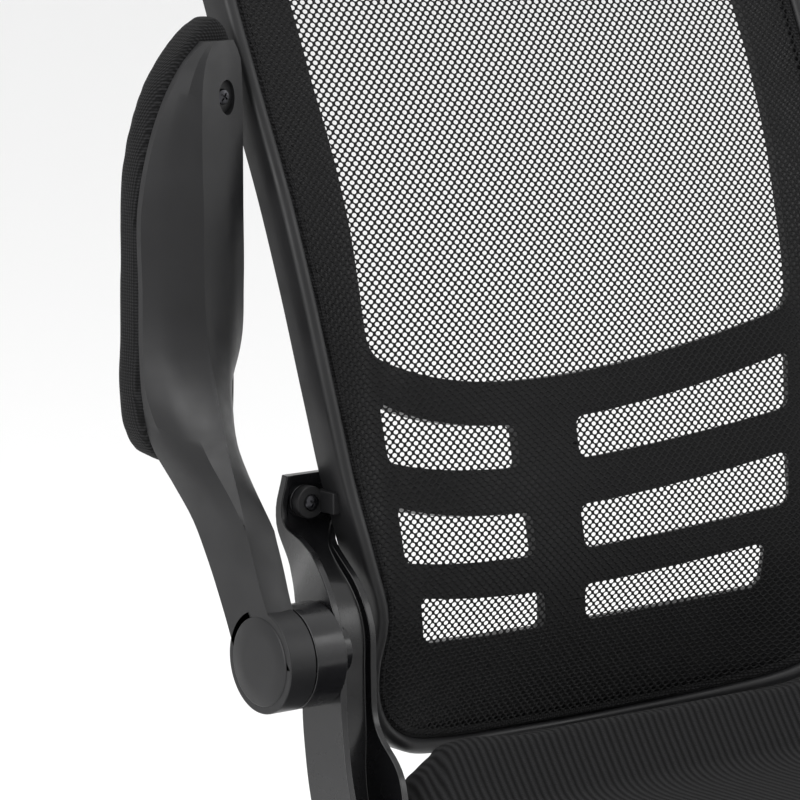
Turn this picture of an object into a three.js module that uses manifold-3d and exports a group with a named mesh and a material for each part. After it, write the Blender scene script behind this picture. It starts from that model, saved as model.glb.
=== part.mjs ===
// Swivel office chair: flip-up arms, open lumbar grid behind a stretched net, sprung tilt,
// gas lift and a five-star base on twin-wheel casters. Millimetres, +Z up, the sitter faces -Y.
import * as THREE from "three";
import { mergeVertices } from "three/addons/utils/BufferGeometryUtils.js";
import Module from "manifold-3d";

const wasm = await Module();
wasm.setup();
const V = (x, y, z) => new THREE.Vector3(x, y, z);
const V2 = (x, y) => new THREE.Vector2(x, y);

// ---- Dimensions ---------------------------------------------------------------------------
const gap = 0.3; // clearance between pieces that touch
const datum = { y: 229, z: 655 }; // lumbar line of the back, which upper parts are drawn from
const column = { y: -51, tubeR: 25, floor: 62, top: 250 };
const base = { reach: 310, legs: 5, hubR: 38, hubLow: 68, hubTop: 131 };
const caster = { trail: 20, axleZ: 29, wheelR: 29, wheelWide: 16.5, finWide: 9, axleR: 3.9 };
const tilt = { y: -91, z: 336, axleR: 5 };
const lever = { z: 330.4, rodR: 4 };
const hub = { y: -76, z: -114, r: 28, out: 265, seam: 248, in: 228, pinR: 6 };
const pad = { back: 8, thick: 25 };
const dish = { half: 152, deepest: 45 }; // the back's hollow in plan, between its side borders
const bars = [
  // top and bottom at the spine, their rise at 150 mm out, and the slot's outer end
  { top: -26, low: -49.5, riseTop: 32, riseLow: 24, end: 150 },
  { top: -75.5, low: -100, riseTop: 26, riseLow: 20, end: 144 },
  { top: -120.5, low: -141, riseTop: 22, riseLow: 15, end: 127 },
];
const windowSill = { top: -1, rise: 32 }; // lower edge of the big opening
const spineHalf = 20;

// ---- Materials ----------------------------------------------------------------------------
const paint = (color, roughness, metalness = 0) =>
  new THREE.MeshStandardMaterial({ color, roughness, metalness });
const nylon = paint(0x1c1c1d, 0.5);
const gloss = paint(0x0d0d0e, 0.15);
const cover = paint(0x141415, 0.9);
const net = paint(0x242425, 0.8);
const steel = paint(0xa8aaad, 0.3, 1);
const blackSteel = paint(0x17181a, 0.4, 0.6);
const chrome = paint(0xc8cacd, 0.12, 1);
const tread = paint(0x121212, 0.7);

// ---- Geometry helpers ---------------------------------------------------------------------
const group = new THREE.Group();
group.name = "office_chair";
function add(name, geometry, material, move = [0, 0, 0]) {
  const mesh = new THREE.Mesh(outward(geometry.translate(...move)), material);
  mesh.name = name;
  group.add(mesh);
}
const onColumn = [0, column.y, 0];
const onBack = [0, datum.y, datum.z];

/** Turns every face round when the closed surface encloses a negative volume. */
function outward(geometry) {
  const p = geometry.attributes.position;
  const index = geometry.index.array;
  const [a, b, c] = [V(), V(), V()];
  let volume = 0;
  for (let i = 0; i < index.length; i += 3) {
    a.fromBufferAttribute(p, index[i]);
    b.fromBufferAttribute(p, index[i + 1]);
    c.fromBufferAttribute(p, index[i + 2]);
    volume += a.dot(b.cross(c));
  }
  if (volume < 0)
    for (let i = 0; i < index.length; i += 3)
      [index[i + 1], index[i + 2]] = [index[i + 2], index[i + 1]];
  return geometry;
}

/** Position-only copy with shared corners. */
function welded(geometry) {
  const bare = new THREE.BufferGeometry();
  bare.setAttribute("position", geometry.attributes.position.clone());
  if (geometry.index) bare.setIndex(geometry.index.clone());
  return outward(mergeVertices(bare, 1e-4));
}

function solid(geometry) {
  const g = welded(geometry);
  return new wasm.Manifold(
    new wasm.Mesh({
      numProp: 3,
      vertProperties: new Float32Array(g.attributes.position.array),
      triVerts: new Uint32Array(g.index.array),
    }),
  );
}

/** Joins the first list of geometries and cuts the second list out of them. */
function carve(joined, cut = []) {
  let body = joined.map(solid).reduce((sum, part) => sum.add(part));
  for (const part of cut) body = body.subtract(solid(part));
  const mesh = body.getMesh();
  const geometry = new THREE.BufferGeometry();
  geometry.setAttribute("position", new THREE.BufferAttribute(mesh.vertProperties, 3));
  geometry.setIndex(new THREE.BufferAttribute(mesh.triVerts, 1));
  return geometry;
}

function indexed(points, index) {
  const geometry = new THREE.BufferGeometry().setFromPoints(points);
  geometry.setIndex(index);
  return welded(geometry);
}

/** Closed solid through rings of points. Each end is capped on the plane its map gives. */
function loft(rings, flatFirst, flatLast) {
  const n = rings[0].length;
  const index = [];
  for (let k = 0; k + 1 < rings.length; k++)
    for (let i = 0; i < n; i++) {
      const a = k * n + i;
      const b = k * n + ((i + 1) % n);
      index.push(a, b, b + n, a, b + n, a + n);
    }
  const cap = (start, flat, along) => {
    const outline = rings[start / n].map(flat);
    for (const face of THREE.ShapeUtils.triangulateShape(outline, [])) {
      const turn = THREE.ShapeUtils.area(face.map((i) => outline[i]));
      const follows = turn * THREE.ShapeUtils.area(outline) > 0;
      index.push(...(follows === along ? face : face.toReversed()).map((i) => start + i));
    }
  };
  cap(0, flatFirst, false);
  cap((rings.length - 1) * n, flatLast, true);
  return indexed(rings.flat(), index);
}

/** Closed solid of rings that share a middle, ended by a fan on each end's middle point. */
function domed(rings) {
  const middle = (ring) =>
    ring.reduce((sum, p) => sum.add(p), V(0, 0, 0)).divideScalar(ring.length);
  const tip = (ring) => ring.map(() => middle(ring));
  const closed = [tip(rings[0]), ...rings, tip(rings.at(-1))];
  const n = rings[0].length;
  const index = [];
  for (let k = 0; k + 1 < closed.length; k++)
    for (let i = 0; i < n; i++) {
      const a = k * n + i;
      const b = k * n + ((i + 1) % n);
      if (k > 0) index.push(a, b, b + n);
      if (k + 2 < closed.length) index.push(a, b + n, a + n);
    }
  return indexed(closed.flat(), index);
}

/** Endless solid: rings of points that come back to the first one. */
function hoop(rings) {
  const n = rings[0].length;
  const m = rings.length;
  const index = [];
  for (let k = 0; k < m; k++)
    for (let i = 0; i < n; i++) {
      const a = k * n + i;
      const b = k * n + ((i + 1) % n);
      const c = ((k + 1) % m) * n + i;
      const d = ((k + 1) % m) * n + ((i + 1) % n);
      index.push(a, b, d, a, d, c);
    }
  return indexed(rings.flat(), index);
}

/** Solid turned about Z from [radius, z] pairs, which close on themselves or on the axis. */
function turned(profile, segments = 24) {
  const points = profile.map(([r, z]) => V2(r, z));
  if (points[0].x > 0 || points.at(-1).x > 0) points.push(points[0].clone());
  return welded(new THREE.LatheGeometry(points, segments).rotateX(Math.PI / 2));
}
const disc = (r, low, top, segments) =>
  turned([[0, low], [r, low], [r, top], [0, top]], segments);
const ring = (inner, outer, low, top, segments) =>
  turned([[inner, low], [outer, low], [outer, top], [inner, top]], segments);
/** The same, laid along X from one end to the other. */
const bar = (r, from, to, y, z, segments = 16) =>
  disc(r, from, to, segments).rotateY(Math.PI / 2).translate(0, y, z);
const block = (x, y, z) =>
  new THREE.BoxGeometry(x[1] - x[0], y[1] - y[0], z[1] - z[0]).translate(
    (x[0] + x[1]) / 2, (y[0] + y[1]) / 2, (z[0] + z[1]) / 2);
/** Prism of an outline in the XZ plane between two depths. */
function prism(outline, front, back) {
  const shape = new THREE.Shape(outline);
  return new THREE.ExtrudeGeometry(shape, { depth: back - front, bevelEnabled: false })
    .rotateX(Math.PI / 2)
    .translate(0, back, 0);
}
const mirrored = (geometry) => outward(geometry.clone().scale(-1, 1, 1));
const smoothstep = (t) => THREE.MathUtils.smoothstep(t, 0, 1);
/** Straight-line reading of a table of [at, value, value, ...] rows. */
function reading(table, at) {
  const k = Math.max(1, table.findIndex((row) => row[0] >= at));
  const [low, high] = at > table.at(-1)[0] ? table.slice(-2) : [table[k - 1], table[k]];
  const t = THREE.MathUtils.clamp((at - low[0]) / (high[0] - low[0]), 0, 1);
  return low.slice(1).map((value, i) => THREE.MathUtils.lerp(value, high[i + 1], t));
}

// ---- Five-star base -----------------------------------------------------------------------
const legTurn = (k) => -Math.PI / 2 + (k * 2 * Math.PI) / base.legs;
function leg() {
  const stations = [
    [24, 23, 78, 125], [80, 20, 82, 122], [180, 16.5, 80, 112], [270, 14, 74, 101], [300, 13, 72, 97],
  ];
  return domed(stations.map(([x, half, low, top]) => [
    V(x, -half, low), V(x, half, low), V(x, half, top - 7),
    V(x, half * 0.6, top), V(x, -half * 0.6, top), V(x, -half, top - 7),
  ]));
}
const socket = () => disc(16, 66, 97, 16).translate(base.reach, 0, 0);
const legs = [...Array(base.legs).keys()].flatMap((k) =>
  [leg(), socket()].map((g) => g.rotateZ(legTurn(k))));
const stemBores = [...Array(base.legs).keys()].map((k) =>
  disc(5.8, 60, 90.3, 12).translate(base.reach, 0, 0).rotateZ(legTurn(k)));
add("base_star",
  carve([turned([[0, base.hubLow], [34, base.hubLow], [base.hubR, 74], [base.hubR, 125],
    [34, base.hubTop], [0, base.hubTop]], 20), ...legs],
  [disc(column.tubeR + gap, 50, 140, 24), ...stemBores]), nylon, onColumn);

// ---- Casters ------------------------------------------------------------------------------
const trails = [90, 60, 130, 50, 120]; // which way each caster trails, in degrees
function casterParts() {
  const { trail, axleZ, wheelR, wheelWide, finWide, axleR } = caster;
  const arc = (r, from, to, steps) =>
    [...Array(steps + 1).keys()].map((i) => {
      const a = THREE.MathUtils.degToRad(from + ((to - from) * i) / steps);
      return V2(trail + r * Math.cos(a), axleZ + r * Math.sin(a));
    });
  const fin = prism([...arc(32, 10, 175, 8), ...arc(17, 190, 350, 4)], -finWide / 2, finWide / 2);
  const hood = prism([...arc(33, 15, 165, 8), ...arc(30.6, 165, 15, 8)], -21.5, 21.5);
  const boss = disc(11, 57.2, 65.6, 12);
  const across = (geometry) => geometry.rotateX(Math.PI / 2).translate(trail, 0, axleZ);
  const side = finWide / 2 + 0.5;
  const rim = wheelR / Math.cos(Math.PI / 16); // a flat of the tread stands on the floor
  const wheel = () =>
    turned([[axleR + 0.35, 1.5], [rim - 1.5, 0], [rim, 2.5], [rim, wheelWide - 3],
      [rim - 2.5, wheelWide], [axleR + 0.35, wheelWide]], 16).rotateZ(Math.PI / 16);
  return {
    body: carve([fin, hood, boss],
      [across(disc(axleR + gap, -30, 30, 12)), disc(5.5 + gap, 58, 70, 12)]),
    stem: turned([[0, 58.3], [5.5, 58.3], [5.5, 90], [0, 90]], 10),
    axle: across(disc(axleR, -side - wheelWide + 1, side + wheelWide - 1, 12)),
    left: across(wheel().translate(0, 0, side)),
    right: across(wheel().rotateX(Math.PI).translate(0, 0, -side)),
  };
}
const names = ["front", "front_left", "rear_left", "rear_right", "front_right"];
names.forEach((name, k) => {
  const at = V(Math.cos(legTurn(k)), Math.sin(legTurn(k)), 0).multiplyScalar(base.reach);
  const parts = casterParts();
  const place = (geometry) =>
    geometry.rotateZ(THREE.MathUtils.degToRad(trails[k])).translate(at.x, at.y, 0);
  add(`caster_body_${name}`, place(parts.body), nylon, onColumn);
  add(`caster_stem_${name}`, place(parts.stem), steel, onColumn);
  add(`caster_axle_${name}`, place(parts.axle), steel, onColumn);
  add(`caster_wheel_a_${name}`, place(parts.left), tread, onColumn);
  add(`caster_wheel_b_${name}`, place(parts.right), tread, onColumn);
});

// ---- Gas column ---------------------------------------------------------------------------
const { floor, tubeR } = column;
add("column_tube", turned([[5.5, floor], [tubeR, floor], [tubeR, column.top],
  [23, column.top], [23, floor + 4], [5.5, floor + 4]]), blackSteel, onColumn);
add("column_bush", ring(14 + gap, 23 - gap, 165, 249, 24), nylon, onColumn);
add("thrust_bearing", ring(7.5, 16, floor + 4 + gap, 72, 20), steel, onColumn);
add("piston_rod", turned([[0, 58], [5, 58], [5, 72.3], [10, 72.3], [10, 76], [4.5, 76],
  [4.5, 296], [0, 296]], 16), chrome, onColumn);
add("spring_tube", turned([[6, 105], [14, 105], [14, 320], [3.6, 320], [3.6, 305.8], [0, 305.8],
  [0, 300], [6, 300]], 24), chrome, onColumn);
add("valve_pin", disc(3.2, 310.3, 325.2, 12), steel, onColumn);
add("sleeve_lower", ring(34, 36, base.hubTop + gap, 215, 20), nylon, onColumn);
add("sleeve_middle", ring(31, 33, 138, 245, 20), nylon, onColumn);
add("sleeve_upper", ring(28, 30, 150, 295.7, 20), nylon, onColumn);

// ---- Tilt mechanism -----------------------------------------------------------------------
const wall = 3.5;
const knobY = -126;
const profile = (inset) => [
  V2(-156 + inset, 296 + inset), V2(24 - inset, 296 + inset),
  V2(24 - inset, inset ? 400 : 318), V2(-91, inset ? 400 : 344), V2(-156 + inset, inset ? 400 : 344),
];
const alongX = (outline, half) =>
  new THREE.ExtrudeGeometry(new THREE.Shape(outline), { depth: 2 * half, bevelEnabled: false })
    .applyMatrix4(new THREE.Matrix4().makeBasis(V(0, 1, 0), V(0, 0, 1), V(1, 0, 0)))
    .translate(-half, 0, 0);
const hollow = carve([alongX(profile(0), 75)], [alongX(profile(wall), 75 - wall)]);
add("mechanism_housing",
  carve([hollow, disc(19, 297, 317, 20).translate(0, column.y, 0)], [
    disc(14 + gap, 280, 330, 24).translate(0, column.y, 0),
    bar(tilt.axleR + gap, -90, 90, tilt.y, tilt.z),
    block([-85, -65], [column.y - 9, column.y + 9], [322, 400]),
    disc(5.4, 290, 305, 12).translate(0, knobY, 0),
  ]), blackSteel);
add("tilt_axle", carve([bar(tilt.axleR, -88, 88, tilt.y, tilt.z),
  bar(8, -91, -84, tilt.y, tilt.z), bar(8, 84, 91, tilt.y, tilt.z)]), steel);
const grip = [...Array(32).keys()].map((i) => {
  const a = (i * Math.PI) / 16;
  const r = 25.5 + 1.6 * Math.cos(8 * a);
  return V2(r * Math.cos(a), r * Math.sin(a));
});
add("tension_knob",
  carve([new THREE.ExtrudeGeometry(new THREE.Shape(grip), { depth: 32, bevelEnabled: false })
    .translate(0, knobY, 260), disc(5, 290, 318, 12).translate(0, knobY, 0)]), nylon);
add("lock_slider",
  carve([block([-58, -46], [column.y - 10, column.y + 10], [316, 336])],
    [bar(4.6, -70, -40, column.y, lever.z)]), steel);
const paddle = prism([V2(-150, -5), V2(-170, -15), V2(-236, -20), V2(-243, -16), V2(-236, -12),
  V2(-170, -7), V2(-150, 4)], -12, 12).translate(0, column.y, lever.z);
add("height_lever", carve([bar(lever.rodR, -160, 14, column.y, lever.z, 12), paddle]), nylon);
const ear = (x) => carve([block(x, [tilt.y - 14, tilt.y + 14], [337, 350]), bar(14, ...x, tilt.y, tilt.z)]);
add("seat_plate",
  carve([block([-95, 95], [-156, 54], [349.4, 354.6]), ear([78.5, 83.5]), ear([-83.5, -78.5])],
    [bar(tilt.axleR + gap, -99, 99, tilt.y, tilt.z)]), blackSteel);

// ---- Seat ---------------------------------------------------------------------------------
const seatHalf = [
  [0, -60], [70, -60], [125, -62], [160, -68], [182, -80], [190, -98], [192, -140], [198, -190],
  [214, -240], [235, -300], [247, -370], [246, -440], [228, -498], [180, -526], [100, -538], [0, -540],
];
const seatOutline = [...seatHalf, ...seatHalf.slice(1, -1).reverse().map(([x, y]) => [-x, y])];
const seatMiddle = V2(0, -320);
/** Height of the cushion's crown above the datum at a place on it. */
function seatTop(x, y) {
  const rear = 36 * smoothstep((y + 132) / 62);
  const front = -24 * smoothstep((-430 - y) / 110);
  const sides = 8 * smoothstep((Math.abs(x) - 90) / 130) * smoothstep((y + 520) / 120);
  return -214 + rear + front + sides;
}
function seatRing(scale, height) {
  return seatOutline.map(([x, y]) => {
    const q = V2(x, y).sub(seatMiddle).multiplyScalar(scale).add(seatMiddle);
    return V(q.x, q.y, height(q.x, q.y));
  });
}
const under = -286.7;
add("seat_cushion", domed([
  seatRing(0.5, () => under), seatRing(0.97, () => under), seatRing(0.995, () => under + 9),
  seatRing(1, (x, y) => Math.min(seatTop(x, y), seatTop(x * 0.9, y)) - 24),
  seatRing(0.985, (x, y) => seatTop(x, y) - 8), seatRing(0.945, (x, y) => seatTop(x, y)),
  seatRing(0.86, seatTop), seatRing(0.7, seatTop), seatRing(0.4, seatTop),
]), cover, onBack);
add("seat_pan", domed([
  seatRing(0.5, () => -300), seatRing(0.84, () => -300), seatRing(0.93, () => -296),
  seatRing(0.965, () => -291), seatRing(0.965, () => under - gap), seatRing(0.5, () => under - gap),
]), nylon, onBack);

// ---- Back: outline, dish and lip ----------------------------------------------------------
const lipHalf = [
  [0, -203], [55, -201], [105, -196], [143, -188], [165, -175], [175, -156], [176, -134],
  [171, -108], [177, -78], [184, -40], [190, 5], [198, 65], [204, 124], [207, 178], [207, 235],
  [203, 290], [190, 334], [163, 357], [112, 367], [56, 370], [0, 371],
];
const lipCurve = new THREE.CatmullRomCurve3(
  [...lipHalf, ...lipHalf.slice(1, -1).reverse().map(([x, z]) => [-x, z])]
    .map(([x, z]) => V(x, 0, z)), true);
const lipSteps = 48;
const lipFlat = lipCurve.getSpacedPoints(lipSteps).slice(0, lipSteps);
const sideDepth = [
  // how far behind the lumbar line the side lip stands at each height
  [-210, -52], [-156, -50], [-134, -51], [-105, -52], [-65, -47], [-32, -40], [12, -32],
  [68, -22], [124, -7], [178, 15], [235, 42], [300, 72], [375, 106],
];
const lowLip = (x) => -203 + 15 * Math.min(1, Math.abs(x) / 150) ** 2;
const highLip = (x) => 371 - 14 * Math.min(1, Math.abs(x) / 163) ** 2;
const hollowAt = (x) => Math.max(0, 1 - (x / dish.half) ** 2);
/** Depth of the stretched net, taut from side to side and drawn back to the two ends. */
function netY(x, z) {
  const [side] = reading(sideDepth, z);
  const low = THREE.MathUtils.clamp(1 - (z - lowLip(x)) / 160, 0, 1);
  const high = THREE.MathUtils.clamp(1 - (highLip(x) - z) / 160, 0, 1);
  return side + hollowAt(x) * (40 * low ** 2 + 24 * high ** 2);
}
/** Depth of the frame's front, hollowed between its side borders. */
const frameY = (x, z) => {
  const deepest = THREE.MathUtils.clamp(dish.deepest + (z + 40) * -0.055, 24, 50);
  return reading(sideDepth, z)[0] + hollowAt(x) * deepest + 1.9;
};
const lipFrames = lipFlat.map((p, k) => {
  const before = lipFlat[(k + lipSteps - 1) % lipSteps];
  const after = lipFlat[(k + 1) % lipSteps];
  const t = after.clone().sub(before).normalize();
  return { at: V(p.x, netY(p.x, p.z), p.z), inward: V(-t.z, 0, t.x) };
});
/** One section of the border: [how far in, how far back] pairs off the lip. */
const border = (outline) =>
  hoop(lipFrames.map(({ at, inward }) =>
    outline(at).map(([u, v]) => {
      const p = at.clone().addScaledVector(inward, u);
      return p.setY(netY(p.x, p.z) + v);
    })));
const borderWidth = (at) => {
  const side = at.z > 300 ? 34 : THREE.MathUtils.lerp(32, 46, smoothstep((at.z + 60) / 200));
  return Math.abs(at.x) < 150 && Math.abs(at.z - 84) > 230 ? 26 : side;
};
const rim = border((at) => {
  const w = borderWidth(at);
  return [[0, -1], [2.2, -4], [6.4, -4], [8.6, -1], [8.6, 3.8], [13.4, 3.8], [13.4, 1.9],
    [w, 1.9], [w, 9.5], [6, 10.5], [5, 19.5], [0.6, 19.5]];
});
/** Curved bar from side to side between two heights at the spine. */
function crossBar(top, low, riseTop, riseLow, half = dish.half + 6) {
  const steps = 10;
  return domed([...Array(steps + 1).keys()].map((i) => {
    const x = -half + (2 * half * i) / steps;
    const up = top + riseTop * (x / 150) ** 2;
    const down = low + riseLow * (x / 150) ** 2;
    return [V(x, frameY(x, up), up), V(x, frameY(x, down), down),
      V(x, frameY(x, down) + 8, down), V(x, frameY(x, up) + 8, up)];
  }));
}
const [one, two, three] = bars;
const crossBars = [
  crossBar(windowSill.top, one.top, windowSill.rise, one.riseTop),
  crossBar(one.low, two.top, one.riseLow, two.riseTop),
  crossBar(two.low, three.top, two.riseLow, three.riseTop),
  crossBar(three.low, -172, three.riseLow, 15), crossBar(-171, -196, 15, 14, 138),
];
const spine = domed([...Array(8).keys()].map((i) => {
  const z = -182 + 24.6 * i;
  const y = frameY(0, z);
  const taper = spineHalf + (i < 2 ? 2 : 0);
  return [V(-taper, y - 0.6, z), V(taper, y - 0.6, z), V(taper - 3, y + 12, z), V(3 - taper, y + 12, z)];
}));
// Each slot ends in rounded corners: past its end the frame is closed up to the side border.
const slotEnd = (row, side) => {
  const corners = [[row.end, -7], [row.end + 2.5, -2], [row.end + 8, 3], [dish.half + 8, 5]];
  return domed(corners.map(([x, past]) => {
    const up = row.top + row.riseTop * (x / 150) ** 2 + past;
    const down = row.low + row.riseLow * (x / 150) ** 2 - past;
    return [[up, 0.4], [down, 0.4], [down, 7.6], [up, 7.6]]
      .map(([z, back]) => V(side * x, frameY(x, z) + back, z));
  }));
};
const screwAt = { x: 193, z: -45 };
const fixingEar = (side) =>
  bar(9, -24, -18, 0, 0, 14).rotateZ(Math.PI / 2).translate(side * screwAt.x, 0, screwAt.z);
const earBridge = (side) => block(side > 0 ? [170, 187] : [-187, -170], [-38, -18], [-51, -39]);
const screwBore = (side) =>
  bar(2.5, -60, 10, 0, 0, 10).rotateZ(Math.PI / 2).translate(side * screwAt.x, 0, screwAt.z);
add("back_frame",
  carve([rim, ...crossBars, spine, ...[1, -1].flatMap((side) =>
    [...bars.map((row) => slotEnd(row, side)), fixingEar(side), earBridge(side)])],
  [screwBore(1), screwBore(-1)]), nylon, onBack);

// ---- Net and its edge strip ---------------------------------------------------------------
add("mesh_welt", border(() => [[9.2, 1.5], [12.8, 1.5], [12.8, 3.3], [9.2, 3.3]]), cover, onBack);
const netRing = (scale, back) =>
  lipFrames.map(({ at, inward }) => {
    const edge = at.clone().addScaledVector(inward, 9);
    const x = edge.x * scale;
    const z = THREE.MathUtils.lerp(84, edge.z, scale);
    return V(x, netY(x, z) + back, z);
  });
const netScales = [0.4, 0.65, 0.82, 0.92, 1];
add("back_mesh", domed([
  ...netScales.map((s) => netRing(s, -0.7)), ...netScales.toReversed().map((s) => netRing(s, 0.5)),
]), net, onBack);

// ---- Uprights: open channels from under the seat to the back ------------------------------
const uprightPath = new THREE.CatmullRomCurve3([
  // rear line of the right-hand channel, from its top to under the seat
  V(0, -12.3, -30), V(0, -12.3, -58), V(0, -32, -78), V(0, -50, -93), V(0, -60, -110),
  V(0, -62, -132), V(0, -65, -160), V(0, -75, -195), V(0, -92, -235), V(0, -122, -280),
  V(0, -160, -308), V(0, -210, -318.5), V(0, -255, -318.8),
]);
const channelShape = [
  // along the path: outer side, inner side, outer wall's depth, inner wall's depth
  [0, 217, 162, 5, 5], [0.066, 218, 165, 5, 5], [0.1, 220, 190, 12, 5.5], [0.14, 222, 190, 22, 8],
  [0.2, 228, 191, 34, 8], [0.36, 229, 193, 36, 9], [0.42, 231, 196, 36, 34], [0.62, 234, 199, 36, 35],
  [0.78, 235, 201, 24, 24], [0.86, 230, 196, 17, 17], [1, 202, 164, 17, 17],
];
function channel() {
  const steps = 16;
  return loft([...Array(steps + 1).keys()].map((i) => {
    const at = uprightPath.getPointAt(i / steps);
    const t = uprightPath.getTangentAt(i / steps);
    const n = V(0, t.z, -t.y);
    if (i === 0) n.set(0, -1, 0);
    if (i === steps) n.set(0, 0, 1);
    const [out, inner, deepOut, deepIn] = reading(channelShape, i / steps);
    return [[out, 0], [inner, 0], [inner, deepIn], [inner + 4, deepIn], [inner + 5, 4.5],
      [out - 5, 4.5], [out - 4, deepOut], [out, deepOut]]
      .map(([x, d]) => V(-x, at.y, at.z).addScaledVector(n, d));
  }), (p) => V2(p.x, p.y), (p) => V2(p.x, p.z));
}
const rightUpright = carve(
  [channel(), bar(hub.r, -hub.seam + gap, -hub.in, hub.y, hub.z, 28),
    bar(14, -hub.in - 2, -hub.in + 14, hub.y, hub.z, 16),
    bar(9, -17.3, -11, 0, 0, 14).rotateZ(Math.PI / 2).translate(-screwAt.x, 0, screwAt.z)],
  [bar(hub.pinR + gap, -250, -222, hub.y, hub.z),
    bar(2.5, -60, 10, 0, 0, 10).rotateZ(Math.PI / 2).translate(-screwAt.x, 0, screwAt.z)]);
const rightScrew = carve([
  bar(2.1, -25, -12, 0, 0, 10).rotateZ(Math.PI / 2), bar(4.6, -27.4, -24.3, 0, 0, 12).rotateZ(Math.PI / 2),
]).translate(-screwAt.x, 0, screwAt.z);

// ---- Flip-up arm, drawn raised ------------------------------------------------------------
const shellShape = [
  // height: outer side, inner side, rear face, ridge across, ridge depth
  [-112, 265, 248.3, -52, 265, -100], [-90, 265, 248, -42, 265, -84], [-64, 265, 246.5, -27, 265, -71],
  [-47, 265, 246, -15, 264, -63], [-30, 268, 243, -2, 262, -54], [-10, 275, 237, 8, 260, -42],
  [15, 281, 228, 8, 257, -29], [42, 283, 219, 8, 254, -16], [75, 283, 217, 8, 252, -9],
  [120, 283, 217, 8, 252, -9], [145, 278, 217, 8, 252, -8], [168, 270, 217, 8, 250.5, -6],
  [185, 261, 217.5, 8, 248, -3.5], [198, 251, 219, 8, 243, -0.5], [208, 240, 224, 8, 234, 4],
];
const shellRings = shellShape.map(([z, out, inner, rear, ridge, front]) => {
  const slab = THREE.MathUtils.clamp((z + 47) / 70, 0, 1); // 0 on the flat neck, 1 under the pad
  const sideFront = THREE.MathUtils.lerp(front, rear - 4, slab);
  const bulge = THREE.MathUtils.lerp(0.5, 0.62, slab);
  return [
    V(-out, rear, z), V(-out, Math.min(rear - 1, sideFront + (1 - slab) * 18), z),
    V(-THREE.MathUtils.lerp(ridge, out, 0.5), THREE.MathUtils.lerp(sideFront, front, bulge) - 1, z),
    V(-ridge, front, z),
    V(-THREE.MathUtils.lerp(ridge, inner, 0.5), THREE.MathUtils.lerp(sideFront, front, bulge) - 1, z),
    V(-inner, sideFront, z), V(-inner, rear, z),
  ];
});
const padScrew = { x: 231, y: 3, z: 176 };
const padScrewHole = (r, front, back) =>
  bar(r, front, back, 0, 0, 14).rotateZ(Math.PI / 2).translate(-padScrew.x, 0, padScrew.z);
const recess = padScrewHole(6.5, -20, 2) // an upright oval
  .translate(padScrew.x, 0, -padScrew.z).scale(1, 1, 1.4).translate(-padScrew.x, 0, padScrew.z);
const rightShell = carve(
  [domed(shellRings), bar(hub.r, -hub.out, -hub.seam - gap, hub.y, hub.z, 28)],
  [bar(22.3, -hub.out - 1, -hub.out + 2.6, hub.y, hub.z, 24),
    bar(10.3, -hub.out - 1, -hub.out + 8.3, hub.y, hub.z),
    bar(hub.pinR + gap, -270, -240, hub.y, hub.z),
    recess, padScrewHole(2.3, -10, 12)]);
const rightCap = bar(22, -hub.out - 0.2, -hub.out + 2.3, hub.y, hub.z, 24);
const rightPin = carve([bar(10, -hub.out + 2.6, -hub.out + 8, hub.y, hub.z),
  bar(hub.pinR, -hub.out + 7, -223, hub.y, hub.z)]);
const rightPadScrew = carve([
  padScrewHole(2, 0, 18), padScrewHole(4.4, -0.8, 1.6),
]);
const padShape = [
  // height: outer side, inner side
  [-22, 262, 240], [-17, 272, 229], [-6, 280, 220], [12, 284, 216.6], [120, 284, 216.6],
  [145, 281, 216.6], [168, 274, 216.6], [187, 265, 216.6], [202, 253, 218], [213, 241, 221],
  [219, 232, 226],
];
const padRings = padShape.map(([z, out, inner], k) => {
  const end = Math.min(k, padShape.length - 1 - k);
  const round = [6, 2.5, 1, 0][Math.min(end, 3)];
  const front = pad.back + gap + round * 0.6;
  const back = pad.back + gap + pad.thick - round;
  const edge = Math.min(7, (out - inner) / 4);
  return [V(-out, front + 3, z), V(-out + 3, front, z), V(-inner - 3, front, z), V(-inner, front + 3, z),
    V(-inner, back - 6, z), V(-inner - edge, back, z), V(-(out + inner) / 2, back + 2, z),
    V(-out + edge, back, z), V(-out, back - 6, z)];
});
const rightPad = carve([domed(padRings)], [padScrewHole(2.3, 5, 20)]);

[["right", (g) => g], ["left", mirrored]].forEach(([side, turn]) => {
  const piece = (name, geometry, material) =>
    add(`${name}_${side}`, turn(geometry.clone()), material, onBack);
  piece("upright", rightUpright, gloss);
  piece("upright_screw", rightScrew, steel);
  piece("arm_shell", rightShell, nylon);
  piece("arm_pad", rightPad, cover);
  piece("arm_hub_cap", rightCap, nylon);
  piece("arm_pivot_bolt", rightPin, steel);
  piece("arm_pad_screw", rightPadScrew, steel);
});

export default group;
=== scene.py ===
"""Swivel office chair with flip-up arms: net back over a lumbar grid, ribbed seat, five-star base."""
import math
from contextlib import contextmanager

import bmesh
import bpy
import numpy as np
from bpy.props import FloatProperty, FloatVectorProperty, PointerProperty
from mathutils import Matrix, Vector, geometry


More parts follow.
